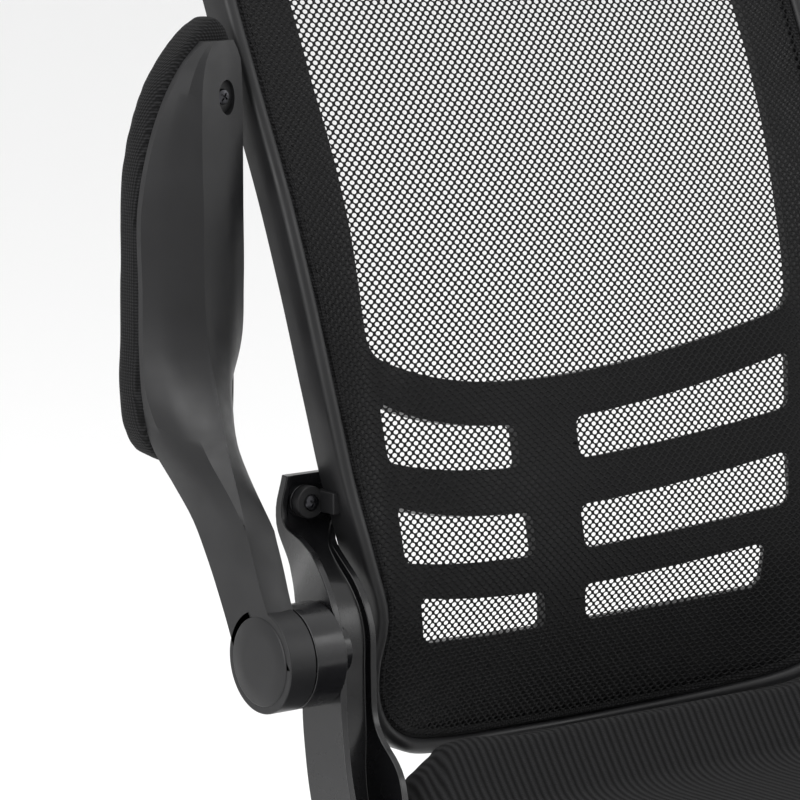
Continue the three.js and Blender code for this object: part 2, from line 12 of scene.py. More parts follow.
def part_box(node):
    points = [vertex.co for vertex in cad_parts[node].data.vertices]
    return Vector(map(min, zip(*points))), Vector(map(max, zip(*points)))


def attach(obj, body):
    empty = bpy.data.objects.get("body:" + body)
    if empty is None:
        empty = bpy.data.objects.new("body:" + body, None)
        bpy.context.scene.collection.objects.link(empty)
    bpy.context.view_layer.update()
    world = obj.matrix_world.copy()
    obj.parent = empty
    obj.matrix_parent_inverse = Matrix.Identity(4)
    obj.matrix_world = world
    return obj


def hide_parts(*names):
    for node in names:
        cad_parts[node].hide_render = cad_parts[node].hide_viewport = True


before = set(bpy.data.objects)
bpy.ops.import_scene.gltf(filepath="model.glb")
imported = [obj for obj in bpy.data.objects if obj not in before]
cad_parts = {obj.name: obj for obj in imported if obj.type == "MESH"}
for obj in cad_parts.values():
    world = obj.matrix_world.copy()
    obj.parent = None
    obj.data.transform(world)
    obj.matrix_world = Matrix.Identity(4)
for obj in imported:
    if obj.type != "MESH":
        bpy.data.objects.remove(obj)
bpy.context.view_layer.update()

bl_info = {
    "name": "Flip-arm office chair",
    "version": (1, 0, 0),
    "blender": (4, 5, 0),
    "location": "View3D > Sidebar > Chair",
    "description": "Builds the upholstery, mouldings and studio of a swivel office chair",
    "category": "Object",
}

MM = 0.001
SIDES = {"right": -1, "left": 1}  # the sitter's sides, as signs of X
CASTERS = ("front", "front_left", "rear_left", "rear_right", "front_right")


# ---- Places taken from the frame
def middle(node):
    low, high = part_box(node)
    return (low + high) / 2


def floor_under(node):
    """Place on the floor below a node's middle."""
    place = middle(node)
    place.z = 0
    return place


PIVOT = middle("arm_hub_cap_right")  # the arms' hinge line
HUB = {"y": -76, "z": -114, "r": 28, "out": 265, "seam": 248, "inside": 228}
HINGE_GAP = 0.3  # on either side of the seam between an arm and its upright
CAP_RADIUS = 22.2
EAR = (193, -45)  # where an upright holds the back, across and up
LUMBAR = Vector((0, PIVOT.y - HUB["y"] * MM, PIVOT.z - HUB["z"] * MM))
COLUMN = Vector((0, middle("piston_rod").y, 0))
ORIGIN = Vector((0, 0, 0))


# ---- Meshes
@contextmanager
def opened(mesh):
    """A mesh's corners, edges and faces, written back at the end."""
    work = bmesh.new()
    work.from_mesh(mesh)
    yield work
    work.to_mesh(mesh)
    work.free()


def tidy(mesh, weld=1e-6):
    """Merges doubled corners, drops empty faces and turns every face outwards."""
    with opened(mesh) as work:
        bmesh.ops.remove_doubles(work, verts=work.verts, dist=weld)
        bmesh.ops.dissolve_degenerate(work, edges=work.edges, dist=weld)
        bmesh.ops.recalc_face_normals(work, faces=work.faces)
    return mesh


def new_mesh(name, points, faces, at=LUMBAR):
    """Mesh from points in millimetres, measured from a place in metres."""
    mesh = bpy.data.meshes.new(name)
    mesh.from_pydata((np.array(points, float) * MM + np.array(at)).tolist(), [], faces)
    return tidy(mesh)


def tube(rings, closed=False):
    """Points and faces of a skin over rings of equally many points, with flat ends."""
    count, n = len(rings), len(rings[0])
    faces = []
    for k in range(count if closed else count - 1):
        near, far = k * n, (k + 1) % count * n
        faces += [(near + i, near + (i + 1) % n, far + (i + 1) % n, far + i) for i in range(n)]
    if not closed:
        faces += [tuple(range(n)), tuple(range((count - 1) * n, count * n))]
    return [tuple(p) for ring in rings for p in ring], faces


def turned(profile, segments=64):
    """Points and faces turned about Z from (radius, height) pairs, closed on themselves."""
    turns = [2 * math.pi * k / segments for k in range(segments)]
    return tube([[(r * math.cos(a), r * math.sin(a), z) for r, z in profile] for a in turns], True)


def disc(radius, low, top, segments=64):
    return turned([(0, low), (radius, low), (radius, top), (0, top)], segments)


def moved(part, turn=None, by=(0, 0, 0)):
    """A part turned by a function of x, y and z, then shifted."""
    points, faces = part
    turn = turn or (lambda x, y, z: (x, y, z))
    return [tuple(np.add(turn(*p), by)) for p in points], faces


def along_x(x, y, z):
    return z, x, y


def along_y(x, y, z):
    return y, z, x


def flipped(side):
    return lambda x, y, z: (side * x, y, z)


def about_z(c, s):
    """Turn about Z by an angle of that cosine and sine."""
    return lambda x, y, z: (c * x - s * y, s * x + c * y, z)


def round_ring(radius, z, turns):
    """Ring about Z at a height, of one radius or of one for each turn."""
    return [(r * math.cos(a), r * math.sin(a), z) for r, a in zip(np.broadcast_to(radius, len(turns)), turns)]


def joined(*parts):
    """One list of points and faces from several."""
    points, faces = [], []
    for more_points, more_faces in parts:
        start = len(points)
        points += more_points
        faces += [tuple(i + start for i in face) for face in more_faces]
    return points, faces


def link(name, mesh, material):
    obj = bpy.data.objects.new(name, mesh)
    bpy.context.scene.collection.objects.link(obj)
    mesh.materials.clear()
    mesh.materials.append(material)
    return obj


def settle(obj, body, slot, stands_for=(), bevel=0.0, levels=0, sharp=38):
    """Shades a piece, eases its edges and puts it on its body."""
    obj.data.shade_smooth()
    obj.data.set_sharp_from_angle(angle=math.radians(sharp))
    if bevel:
        eased = obj.modifiers.new("Eased edges", "BEVEL")
        eased.width, eased.segments = bevel * MM, 2
        eased.limit_method, eased.angle_limit = "ANGLE", math.radians(sharp)
        eased.harden_normals = True
    if levels:
        smooth = obj.modifiers.new("Smooth", "SUBSURF")
        smooth.levels = smooth.render_levels = levels
    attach(obj, body)
    if stands_for:
        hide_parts(*stands_for)
    return obj


def piece(name, part, material, body, slot, stands_for=(), at=LUMBAR, **looks):
    """A finished piece from points in millimetres."""
    return settle(link(name, new_mesh(name, *part, at), material), body, slot, stands_for, **looks)


def plain_copy(obj):
    """The evaluated shape of an object, as a mesh without modifiers."""
    return bpy.data.meshes.new_from_object(obj.evaluated_get(bpy.context.evaluated_depsgraph_get()))


def bake(obj):
    """Turns an object's modifiers into its own mesh."""
    mesh = plain_copy(obj)
    obj.modifiers.clear()
    if obj.type == "MESH":
        obj.data = mesh
        return obj
    made = link(obj.name + "_mesh", mesh, mesh.materials[0])
    bpy.data.objects.remove(obj)
    return made


def cut(obj, part, at=LUMBAR):
    """Takes a closed part out of an object."""
    tool = link("cutter", new_mesh("cutter", *part, at), obj.data.materials[0])
    hollow = obj.modifiers.new("Hollow", "BOOLEAN")
    hollow.operation, hollow.solver, hollow.object = "DIFFERENCE", "EXACT", tool
    bake(obj)
    bpy.data.objects.remove(tool)
    return obj


def softened(node, material, body, slot, bevel=0.8):
    """Stands for a CAD node with its own shape and eased edges."""
    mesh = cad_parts[node].data.copy()
    with opened(mesh) as work:
        bmesh.ops.remove_doubles(work, verts=work.verts, dist=1e-5)
        bmesh.ops.dissolve_limit(work, angle_limit=math.radians(1), verts=work.verts, edges=work.edges)
    obj = link(node + "_eased", mesh, material)
    return settle(obj, body, slot, (node,), bevel=bevel, sharp=30)


# ---- Curves
def flowing(table, at):
    """Smooth reading of rows of (place, value), without corners at the rows."""
    x, y = np.array(table, float).T
    at = np.clip(at, x[0], x[-1])
    slope = np.gradient(y, x)
    k = np.clip(np.searchsorted(x, at) - 1, 0, len(x) - 2)
    h = x[k + 1] - x[k]
    t = (at - x[k]) / h
    bend = (2 * t**3 - 3 * t**2 + 1) * y[k] + (3 * t**2 - 2 * t**3) * y[k + 1]
    return bend + h * ((t**3 - 2 * t**2 + t) * slope[k] + (t**3 - t**2) * slope[k + 1])


def columns(table, count):
    """Evenly spaced places down a table, and a smooth reading of each of its other columns there."""
    table = np.array(table)
    at = np.linspace(table[0, 0], table[-1, 0], count)
    return at, *(flowing(table[:, (0, k)], at) for k in range(1, table.shape[1]))


def smooth_step(t):
    t = np.clip(t, 0, 1)
    return t * t * (3 - 2 * t)


def through(points, count, closed=False):
    """Evenly spaced places on a smooth curve through points."""
    p = np.array(points, float)
    around = np.arange(-1, len(p) + 2)
    p = p[around % len(p)] if closed else p[np.clip(around, 0, len(p) - 1)]
    last = len(p) - 2 if closed else len(p) - 3
    fine = []
    for k in range(1, last):
        t = np.linspace(0, 1, 24, endpoint=False)[:, None]
        a, b, c, d = p[k - 1], p[k], p[k + 1], p[k + 2]
        fine.append(0.5 * (2 * b + (c - a) * t + (2 * a - 5 * b + 4 * c - d) * t**2
                           + (3 * b - a - 3 * c + d) * t**3))
    fine = np.concatenate([*fine, p[last : last + 1]])
    run = np.concatenate([[0], np.cumsum(np.linalg.norm(np.diff(fine, axis=0), axis=1))])
    at = np.linspace(0, run[-1], count, endpoint=not closed)
    return np.stack([np.interp(at, run, axis) for axis in fine.T], axis=1)


# ---- Materials
class Finish:
    """A node material for one kind of surface, put together step by step."""

    def __init__(self, name, colour, roughness, **sockets):
        self.material = bpy.data.materials.new(name)
        self.material.use_nodes = True
        self.nodes = self.material.node_tree.nodes
        self.links = self.material.node_tree.links
        self.shader = self.nodes["Principled BSDF"]
        self.colour = (*colour, 1)
        self.shader.inputs["Base Color"].default_value = self.colour
        self.shader.inputs["Roughness"].default_value = roughness
        for socket, value in sockets.items():
            self.shader.inputs[socket.replace("_", " ")].default_value = value
        self.where = self.nodes.new("ShaderNodeTexCoord").outputs["Object"]
        self.xyz = self.nodes.new("ShaderNodeSeparateXYZ")
        self.links.new(self.where, self.xyz.inputs[0])

    def sum(self, operation, *values):
        node = self.nodes.new("ShaderNodeMath")
        node.operation = operation
        for socket, value in zip(node.inputs, values):
            if isinstance(value, (int, float)):
                socket.default_value = value
            else:
                self.links.new(value, socket)
        return node.outputs[0]

    def noise(self, size, detail=2.0, rough=0.5):
        """Noise whose features are about that size, in metres."""
        node = self.nodes.new("ShaderNodeTexNoise")
        node.inputs["Scale"].default_value = 1 / size
        node.inputs["Detail"].default_value = detail
        node.inputs["Roughness"].default_value = rough
        self.links.new(self.where, node.inputs["Vector"])
        return node.outputs["Fac"]

    def wave(self, place, pitch):
        """Sine of a place, with that pitch in metres."""
        return self.sum("SINE", self.sum("MULTIPLY", place, 2 * math.pi / pitch))

    def spread(self, fac, low, high):
        node = self.nodes.new("ShaderNodeMapRange")
        node.inputs["From Min"].default_value, node.inputs["From Max"].default_value = 0.3, 0.7
        node.inputs["To Min"].default_value, node.inputs["To Max"].default_value = low, high
        self.links.new(fac, node.inputs["Value"])
        return node.outputs[0]

    def tint(self, fac, other, low=0.3, high=0.7):
        """Runs the base colour towards another as a value rises from low to high."""
        ramp = self.nodes.new("ShaderNodeValToRGB")
        ramp.color_ramp.elements[0].position, ramp.color_ramp.elements[0].color = low, self.colour
        ramp.color_ramp.elements[1].position, ramp.color_ramp.elements[1].color = high, (*other, 1)
        self.links.new(fac, ramp.inputs[0])
        self.links.new(ramp.outputs[0], self.shader.inputs["Base Color"])

    def roughen(self, fac, low, high):
        self.links.new(self.spread(fac, low, high), self.shader.inputs["Roughness"])

    def bump(self, height, depth, strength=1.0):
        node = self.nodes.new("ShaderNodeBump")
        node.inputs["Strength"].default_value = strength
        node.inputs["Distance"].default_value = depth
        self.links.new(height, node.inputs["Height"])
        self.links.new(node.outputs[0], self.shader.inputs["Normal"])
        return self.material


def moulded(name, colour, roughness, grain=0.0006, depth=0.00004, **sockets):
    """Injection-moulded nylon with a fine spark-eroded grain and handling marks."""
    skin = Finish(name, colour, roughness, **sockets)
    skin.tint(skin.noise(0.05, 4), tuple(min(1, c * 1.5 + 0.002) for c in colour))
    skin.roughen(skin.noise(0.02, 5, 0.6), roughness - 0.06, roughness + 0.08)
    return skin.bump(skin.noise(grain, 3, 0.7), depth)


def metal(name, colour, roughness, streak=0.0004, depth=0.00001, **sockets):
    skin = Finish(name, colour, roughness, Metallic=1.0, **sockets)
    skin.tint(skin.noise(0.01, 4), tuple(c * 0.8 for c in colour))
    skin.roughen(skin.noise(0.006, 4), max(0.04, roughness - 0.06), roughness + 0.1)
    return skin.bump(skin.noise(streak, 2), depth)


def ribbed_cloth(colour, ridge, pitch, thread):
    """Seat cloth: raised fore-and-aft ribs with fine threads across them, and a painted highlight on their
    crowns.
    """
    cloth = Finish("seat_cloth", colour, 0.85, Sheen_Weight=0.02, Specular_IOR_Level=0.12)
    x, y, z = cloth.xyz.outputs
    rib = cloth.wave(x, pitch)
    across = cloth.wave(cloth.sum("ADD", y, z), thread)
    knots = cloth.sum("MULTIPLY", across, cloth.sum("MULTIPLY_ADD", rib, 0.3, 0.4))
    fuzz = cloth.noise(0.0004, 2)
    height = cloth.sum("ADD", rib, cloth.sum("MULTIPLY_ADD", knots, 0.35, fuzz))
    # painted highlight: the colour runs lighter where the cloth stands higher, as if the raised threads
    # caught the light
    cloth.tint(cloth.sum("MULTIPLY_ADD", height, 0.28, 0.35), ridge, 0.2, 0.85)
    return cloth.bump(height, 0.0005, 0.9)


def woven_cloth(colour, crown, pitch):
    """Arm pad cloth: a tight basket weave, with a painted highlight where the threads cross on top."""
    cloth = Finish("arm_cloth", colour, 0.85, Sheen_Weight=0.02, Specular_IOR_Level=0.12)
    x, y, z = cloth.xyz.outputs
    round_it = cloth.sum("ADD", x, y)
    warp = cloth.wave(cloth.sum("ADD", round_it, z), pitch)
    weft = cloth.wave(cloth.sum("SUBTRACT", round_it, z), pitch)
    weave = cloth.sum("MULTIPLY", warp, weft)
    height = cloth.sum("MULTIPLY_ADD", weave, 0.6, cloth.noise(0.0005, 2))
    # painted highlight: the colour runs lighter on the raised crossings of the weave
    cloth.tint(cloth.sum("MULTIPLY_ADD", weave, 0.5, 0.5), crown, 0.35, 1.0)
    return cloth.bump(height, 0.0005, 0.9)


def yarn(colour):
    """Knitted monofilament of the net."""
    thread = Finish("net_yarn", colour, 0.55, Specular_IOR_Level=0.1)
    thread.tint(thread.noise(0.001, 3), tuple(c * 1.8 for c in colour))
    return thread.bump(thread.noise(0.0003, 2), 0.00008)


FINISHES = {}


def finishes():
    """Every material of the chair, made once."""
    if not FINISHES:
        hue = bpy.context.scene.chair_colours
        cloth = bpy.context.scene.chair_cloth
        black = tuple(hue.nylon)
        FINISHES.update(
            nylon=moulded("satin_nylon", black, 0.42, Specular_IOR_Level=0.28),
            pad_shell=moulded("arm_nylon", black, 0.4, Specular_IOR_Level=0.26),
            gloss=moulded("gloss_nylon", tuple(hue.gloss), 0.24, 0.002, 0.00002,
                          Specular_IOR_Level=0.35, Coat_Weight=0.15, Coat_Roughness=0.12),
            # the lighter cloth colour passed to both cloths is a painted highlight for their raised threads
            seat_cloth=ribbed_cloth(tuple(hue.cloth), tuple(hue.cloth_crown_highlight), cloth.rib, cloth.thread),
            arm_cloth=woven_cloth(tuple(hue.cloth), tuple(hue.cloth_crown_highlight), cloth.weave),
            yarn=yarn(tuple(hue.net)),
            tread=moulded("caster_tread", (0.012, 0.012, 0.012), 0.55, 0.0012, 0.00005),
            steel=metal("zinc_steel", (0.55, 0.56, 0.58), 0.3),
            dark_screw=metal("black_zinc", (0.05, 0.05, 0.055), 0.3),
            coated=moulded("powder_coat", (0.012, 0.012, 0.014), 0.45, 0.0009, 0.00008, Metallic=0.3),
            chrome=metal("chrome", (0.75, 0.76, 0.78), 0.1),
        )
    return FINISHES


# ---- Back: outline, dish and depth
# Right half of the lip from the middle of its lower edge, as (across, height) from the lumbar line.
LIP_HALF = [
    (0, -203), (55, -201), (105, -196), (143, -188), (165, -175), (175, -156), (176, -134),
    (171, -108), (177, -78), (184, -40), (190, 5), (198, 65), (204, 124), (207, 178), (207, 235),
    (203, 290), (190, 334), (163, 357), (112, 367), (56, 370), (0, 371),
]
LIP = np.array(LIP_HALF + [(-x, z) for x, z in LIP_HALF[-2:0:-1]], float)
SIDE_DEPTH = [  # how far behind the lumbar line the side lip stands at each height
    (-210, -52), (-156, -50), (-134, -51), (-105, -52), (-65, -47), (-32, -40), (12, -32),
    (68, -22), (124, -7), (178, 15), (235, 42), (300, 72), (375, 106),
]
DISH_HALF = 152
BARS = [  # a slot's top and foot at the spine, their rise 150 mm out, and its two ends
    (-26, -49.5, 32, 24, 22, 150), (-75.5, -100, 26, 20, 18, 144), (-120.5, -141, 22, 15, 15, 127),
]
DISH_DEPTH = [  # how much deeper than its sides the frame's middle is, at each height
    (-203, 42), (-131, 42), (-88, 48), (-38, 49), (26, 45), (80, 39), (120, 36), (300, 26), (371, 24),
]
SILL = (-1, 32)  # lower edge of the window at the spine, and its rise


def hollow(x):
    """How much of the dish there is at a place across: 1 in the middle, easing out to 0."""
    v = 1 - (np.abs(x) / DISH_HALF) ** 2
    return 0.5 * (v + np.sqrt(v * v + 0.006)) - 0.0015


def low_lip(x):
    return -203 + 15 * np.minimum(1, np.abs(x) / 150) ** 2


def high_lip(x):
    return 371 - 14 * np.minimum(1, np.abs(x) / 163) ** 2


def net_depth(x, z):
    """Depth of the net: taut from side to side, and drawn back to its two ends."""
    low = np.clip(1 - (z - low_lip(x)) / 160, 0, 1)
    high = np.clip(1 - (high_lip(x) - z) / 160, 0, 1)
    return flowing(SIDE_DEPTH, z) + hollow(x) * (40 * low**2 + 24 * high**2)


def frame_depth(x, z):
    """Depth of the frame's front face."""
    return flowing(SIDE_DEPTH, z) + hollow(x) * flowing(DISH_DEPTH, z) + 1.9


def lip_line(count):
    """Places along the lip, and the way inwards at each, both in the plane of the back."""
    at = through(LIP, count, closed=True)
    along = np.roll(at, -1, 0) - np.roll(at, 1, 0)
    along /= np.linalg.norm(along, axis=1)[:, None]
    return at, np.stack([-along[:, 1], along[:, 0]], axis=1)


def border(outline, count=260):
    """Rings of a moulding that follows the lip, from (inwards, backwards) pairs."""
    at, inward = lip_line(count)
    flat = at[:, None] + inward[:, None] * np.array(outline)[None, :, :1]
    depth = net_depth(flat[..., 0], flat[..., 1]) + np.array(outline)[None, :, 1]
    return np.stack([flat[..., 0], depth, flat[..., 1]], axis=2)


def rounded(corners, radius):
    """Closed outline of (x, z) corners joined by their edges, each corner an arc.

    An edge is a list of its points, from one corner to the next."""
    outline = []
    for k, edge in enumerate(corners):
        edge = np.array(edge, float)
        after = np.array(corners[(k + 1) % len(corners)], float)
        run = np.linalg.norm(edge - edge[0], axis=1)
        back = np.linalg.norm(edge - edge[-1], axis=1)
        kept = edge[(run > radius) & (back > radius)]
        outline += kept.tolist()
        corner = edge[-1]
        to_last = corner + (kept[-1] - corner) / np.linalg.norm(kept[-1] - corner) * radius
        ahead = after[np.linalg.norm(after - after[0], axis=1) > radius][0]
        to_next = corner + (ahead - corner) / np.linalg.norm(ahead - corner) * radius
        for t in np.linspace(0, 1, 7):
            outline.append(((1 - t) ** 2 * to_last + 2 * t * (1 - t) * corner
                            + t * t * to_next).tolist())
    return np.array(outline)


def parabola(height, rise, start, end, count=26):
    x = np.linspace(start, end, count)
    return np.stack([x, height + rise * (x / 150) ** 2], axis=1)


def straight(a, b, count=14):
    return np.linspace(a, b, count)


def slot(row, side):
    """Outline of one lumbar slot."""
    top, foot, rise_top, rise_foot, start, end = row
    upper = parabola(top, rise_top, start, end)
    lower = parabola(foot, rise_foot, end - 3, start)
    edges = [upper, straight(upper[-1], lower[0]), lower, straight(lower[-1], upper[0])]
    return rounded(edges, 6) * (side, 1)


def border_width(z):
    return np.where(z > 300, 34, 32 + 14 * smooth_step((z + 60) / 200))


def window():
    """Outline of the big opening."""
    half = [(z, x) for x, z in LIP_HALF if -80 < z < 345]
    z = np.linspace(26, 334, 40)
    x = np.interp(z, *np.array(half).T) - border_width(z)
    sill = parabola(*SILL, -x[0], x[0], 50)
    head = np.stack([np.linspace(x[-1], -x[-1], 40), np.zeros(40)], axis=1)
    head[:, 1] = high_lip(head[:, 0]) - 26
    right_edge = np.stack([x, z], axis=1)
    right_edge[0], right_edge[-1] = sill[-1], head[0]
    left_edge = right_edge[::-1] * (-1, 1)
    return rounded([sill, right_edge, head, left_edge], 12)


def within(points, outline):
    """Which points lie inside a closed outline."""
    x, z = points[:, 0][:, None], points[:, 1][:, None]
    a, b = outline, np.roll(outline, -1, 0)
    spans = (a[:, 1] > z) != (b[:, 1] > z)
    with np.errstate(divide="ignore", invalid="ignore"):
        cross = (b[:, 0] - a[:, 0]) * (z - a[:, 1]) / (b[:, 1] - a[:, 1]) + a[:, 0]
    return (spans & (x < cross)).sum(axis=1) % 2 == 1


def inset_outline(inset, count=200):
    at, inward = lip_line(count)
    return at + inward * inset


def panel(outline, holes, spacing, depth):
    """Points and faces of a dished sheet inside an outline, with holes in it."""
    loops = [outline, *holes]
    points, edges = [], []
    for loop in loops:
        start, n = len(points), len(loop)
        points += loop.tolist()
        edges += [(start + i, start + (i + 1) % n) for i in range(n)]
    low, high = outline.min(axis=0), outline.max(axis=0)
    x, z = np.meshgrid(np.arange(low[0], high[0], spacing), np.arange(low[1], high[1], spacing))
    grid = np.stack([x.ravel(), z.ravel()], axis=1)
    solid = within(grid, outline) & ~np.any([within(grid, hole) for hole in holes], axis=0)
    edge = np.array(points)
    clear = [np.min(np.hypot(*(edge - p).T)) > 0.45 * spacing for p in grid]
    grid = grid[solid & np.array(clear)]
    flat, _, faces, *_ = geometry.delaunay_2d_cdt(
        [Vector(p) for p in points + grid.tolist()], edges, [], 1, 1e-4)
    flat = np.array([tuple(p) for p in flat])
    centres = np.array([flat[list(face)].mean(axis=0) for face in faces])
    keep = within(centres, outline) & ~np.any([within(centres, hole) for hole in holes], axis=0)
    surface = np.stack([flat[:, 0], depth(flat[:, 0], flat[:, 1]), flat[:, 1]], axis=1)
    return surface.tolist(), [tuple(face) for face, kept in zip(faces, keep) if kept]


def back_frame_pieces():
    """Panel with the window and six slots, the lip around it and the ears that the uprights hold."""
    skin = finishes()
    slots = [slot(row, side) for row in BARS for side in (1, -1)]
    sheet = panel(inset_outline(12), [window(), *slots], 9, frame_depth)
    panel_mesh = new_mesh("back_panel", *sheet)
    if sum(p.normal.y for p in panel_mesh.polygons) > 0:
        panel_mesh.flip_normals()
    wall = link("back_panel", panel_mesh, skin["nylon"])
    thick = wall.modifiers.new("Wall", "SOLIDIFY")
    thick.thickness, thick.offset = 7.5 * MM, -1
    bake(wall)
    settle(wall, "seat", "nylon", ("back_frame",), bevel=1.2, sharp=40)
    lip = [(0.6, 19.5), (0, 10), (0, 0), (0.7, -2.4), (2.3, -3.8), (4.3, -4.2), (6.3, -3.8),
           (7.9, -2.4), (8.6, 0), (8.6, 3.8), (16, 3.8), (17, 14), (6.4, 12.5), (5, 19.5)]
    piece("back_lip", tube(border(lip), True), skin["nylon"], "seat", "nylon", sharp=50)
    ribs = []
    for z in np.linspace(-184, -8, 34):
        y = frame_depth(0, z) + 6
        ribs.append([(-13, y, z), (13, y, z), (11, y + 7, z), (-11, y + 7, z)])
    piece("back_spine", tube(ribs), skin["nylon"], "seat", "nylon", bevel=1)
    for name, side in SIDES.items():
        ear = moved(disc(9, -24, -18, 40), along_y, (side * EAR[0], 0, EAR[1]))
        x = sorted((side * 168, side * 187))
        bridge = tube([[(x[0], -36, z), (x[1], -36, z), (x[1], -19, z), (x[0], -19, z)]
                       for z in (EAR[1] - 6, EAR[1] + 6)])
        piece(f"back_ear_{name}", joined(ear, bridge), skin["nylon"], "seat", "nylon", bevel=0.8)


# ---- Node trees
class Tree:
    """A geometry node tree being put together, run once on an object and baked."""

    def __init__(self, name, **inputs):
        self.tree = bpy.data.node_groups.new(name, "GeometryNodeTree")
        self.tree.is_modifier = True
        face = self.tree.interface
        face.new_socket("Geometry", in_out="INPUT", socket_type="NodeSocketGeometry")
        face.new_socket("Geometry", in_out="OUTPUT", socket_type="NodeSocketGeometry")
        kinds = {float: "NodeSocketFloat", int: "NodeSocketInt", bpy.types.Object: "NodeSocketObject",
                 bpy.types.Material: "NodeSocketMaterial"}
        self.values = inputs
        self.sockets = {
            key: face.new_socket(key.replace("_", " "), in_out="INPUT", socket_type=kinds[type(value)])
            for key, value in inputs.items()}
        self.start = self.tree.nodes.new("NodeGroupInput")
        self.end = self.tree.nodes.new("NodeGroupOutput")

    def given(self, key):
        return self.start.outputs[key.replace("_", " ")]

    def node(self, kind, inputs=(), **settings):
        """Adds a node, sets it and links its named or numbered inputs."""
        node = self.tree.nodes.new(kind)
        for key, value in settings.items():
            setattr(node, key, value)
        for key, value in dict(inputs).items():
            if isinstance(value, bpy.types.NodeSocket):
                self.tree.links.new(value, node.inputs[key])
            else:
                node.inputs[key].default_value = value
        return node

    def copies(self, key, points, **rotation):
        """Copies of a given object on points."""
        shape = self.node("GeometryNodeObjectInfo", {"Object": self.given(key)})
        return self.node("GeometryNodeInstanceOnPoints", {
            "Points": points, "Instance": shape.outputs["Geometry"], **rotation}).outputs[0]

    def run(self, obj, last):
        """Realises the geometry with its material and bakes it on an object."""
        real = self.node("GeometryNodeRealizeInstances", {0: last})
        dressed = self.node("GeometryNodeSetMaterial",
                            {0: real.outputs[0], "Material": self.given("Material")})
        self.tree.links.new(dressed.outputs[0], self.end.inputs[0])
        repeat = obj.modifiers.new(self.tree.name, "NODES")
        repeat.node_group = self.tree
        for key, socket in self.sockets.items():
            repeat[socket.identifier] = self.values[key]
        return bake(obj)


def points_object(name, points, material, at=LUMBAR):
    """Loose points that a node tree puts copies on."""
    mesh = bpy.data.meshes.new(name)
    mesh.from_pydata((np.array(points, float) * MM + np.array(at)).tolist(), [], [])
    return link(name, mesh, material)


# ---- Net
NET_INSET = 12  # the outermost meshes of the net end under its edge strip
NET_STRIPS = 3


def net_cell(across, row, wide, high, yarn_thick):
    """One mesh of the knit about the origin: a six-sided border around a round hole."""
    half, step, half_yarn = across / 2, row * 0.22, yarn_thick / 2
    rim = [(half, 0), (half, step), (0, row - step), (-half, step), (-half, 0), (-half, -step),
           (0, step - row), (half, -step)]
    turns = np.radians([0, 42, 90, 138, 180, 222, 270, 318])
    hole = [(wide / 2 * math.cos(a), 0, high / 2 * math.sin(a)) for a in turns]
    points = [(x, -half_yarn, z) for x, z in rim] + [(x, half_yarn, z) for x, z in rim] + hole
    faces = []
    for i in range(8):
        j = (i + 1) % 8
        faces += [(i, j, 16 + j, 16 + i), (8 + j, 8 + i, 16 + i, 16 + j)]
    return points, faces


def net_tree(cell, form, material):
    """Copies of a mesh of the net on points, joined into one cloth and laid on a form."""
    tree = Tree("knit_net", Mesh=cell, Form=form, Weld=0.05 * MM, Material=material)
    real = tree.node("GeometryNodeRealizeInstances", {0: tree.copies("Mesh", tree.given("Geometry"))})
    knit = tree.node("GeometryNodeMergeByDistance",
                     {0: real.outputs[0], "Distance": tree.given("Weld")})
    place = tree.node("GeometryNodeInputPosition")
    split = tree.node("ShaderNodeSeparateXYZ", {0: place.outputs[0]})
    surface = tree.node("GeometryNodeObjectInfo", {"Object": tree.given("Form")})
    before = tree.node("ShaderNodeCombineXYZ", {0: split.outputs[0], 1: -2.0, 2: split.outputs[2]})
    found = tree.node("GeometryNodeRaycast", {
        "Target Geometry": surface.outputs["Geometry"], "Source Position": before.outputs[0],
        "Ray Direction": (0, 1, 0), "Ray Length": 4.0})
    reach = tree.node("ShaderNodeSeparateXYZ", {0: found.outputs["Hit Position"]})
    lift = tree.node("ShaderNodeCombineXYZ", {1: reach.outputs[1]})
    laid = tree.node("GeometryNodeSetPosition", {0: knit.outputs[0], "Offset": lift.outputs[0]})
    return tree, laid.outputs[0]


def net_form():
    """Smooth sheet under the net, wider than the net itself."""
    x, z = np.linspace(-225, 225, 90), np.linspace(-225, 395, 150)
    grid = np.array([(a, float(net_depth(a, b)), b) for b in z for a in x])
    n = len(x)
    faces = [(k * n + i, k * n + i + 1, k * n + n + i + 1, k * n + n + i)
             for k in range(len(z) - 1) for i in range(n - 1)]
    mesh = bpy.data.meshes.new("net_form")
    mesh.from_pydata((grid * MM + np.array(LUMBAR)).tolist(), [], faces)
    return mesh


def hem(mesh):
    """Closes the free edges of the net with a wall from its front to its back."""
    pairs = {}
    with opened(mesh) as work:
        for edge in work.edges:
            if edge.is_boundary:
                place = (edge.verts[0].co + edge.verts[1].co) / 2
                pairs.setdefault((round(place.x, 4), round(place.z, 4)), []).append(edge)
        for front, back in (pair for pair in pairs.values() if len(pair) == 2):
            (a, b), (c, d) = front.verts, back.verts
            if (a.co.xz - c.co.xz).length > (a.co.xz - d.co.xz).length:
                c, d = d, c
            work.faces.new((a, b, d, c))
        bmesh.ops.recalc_face_normals(work, faces=work.faces)


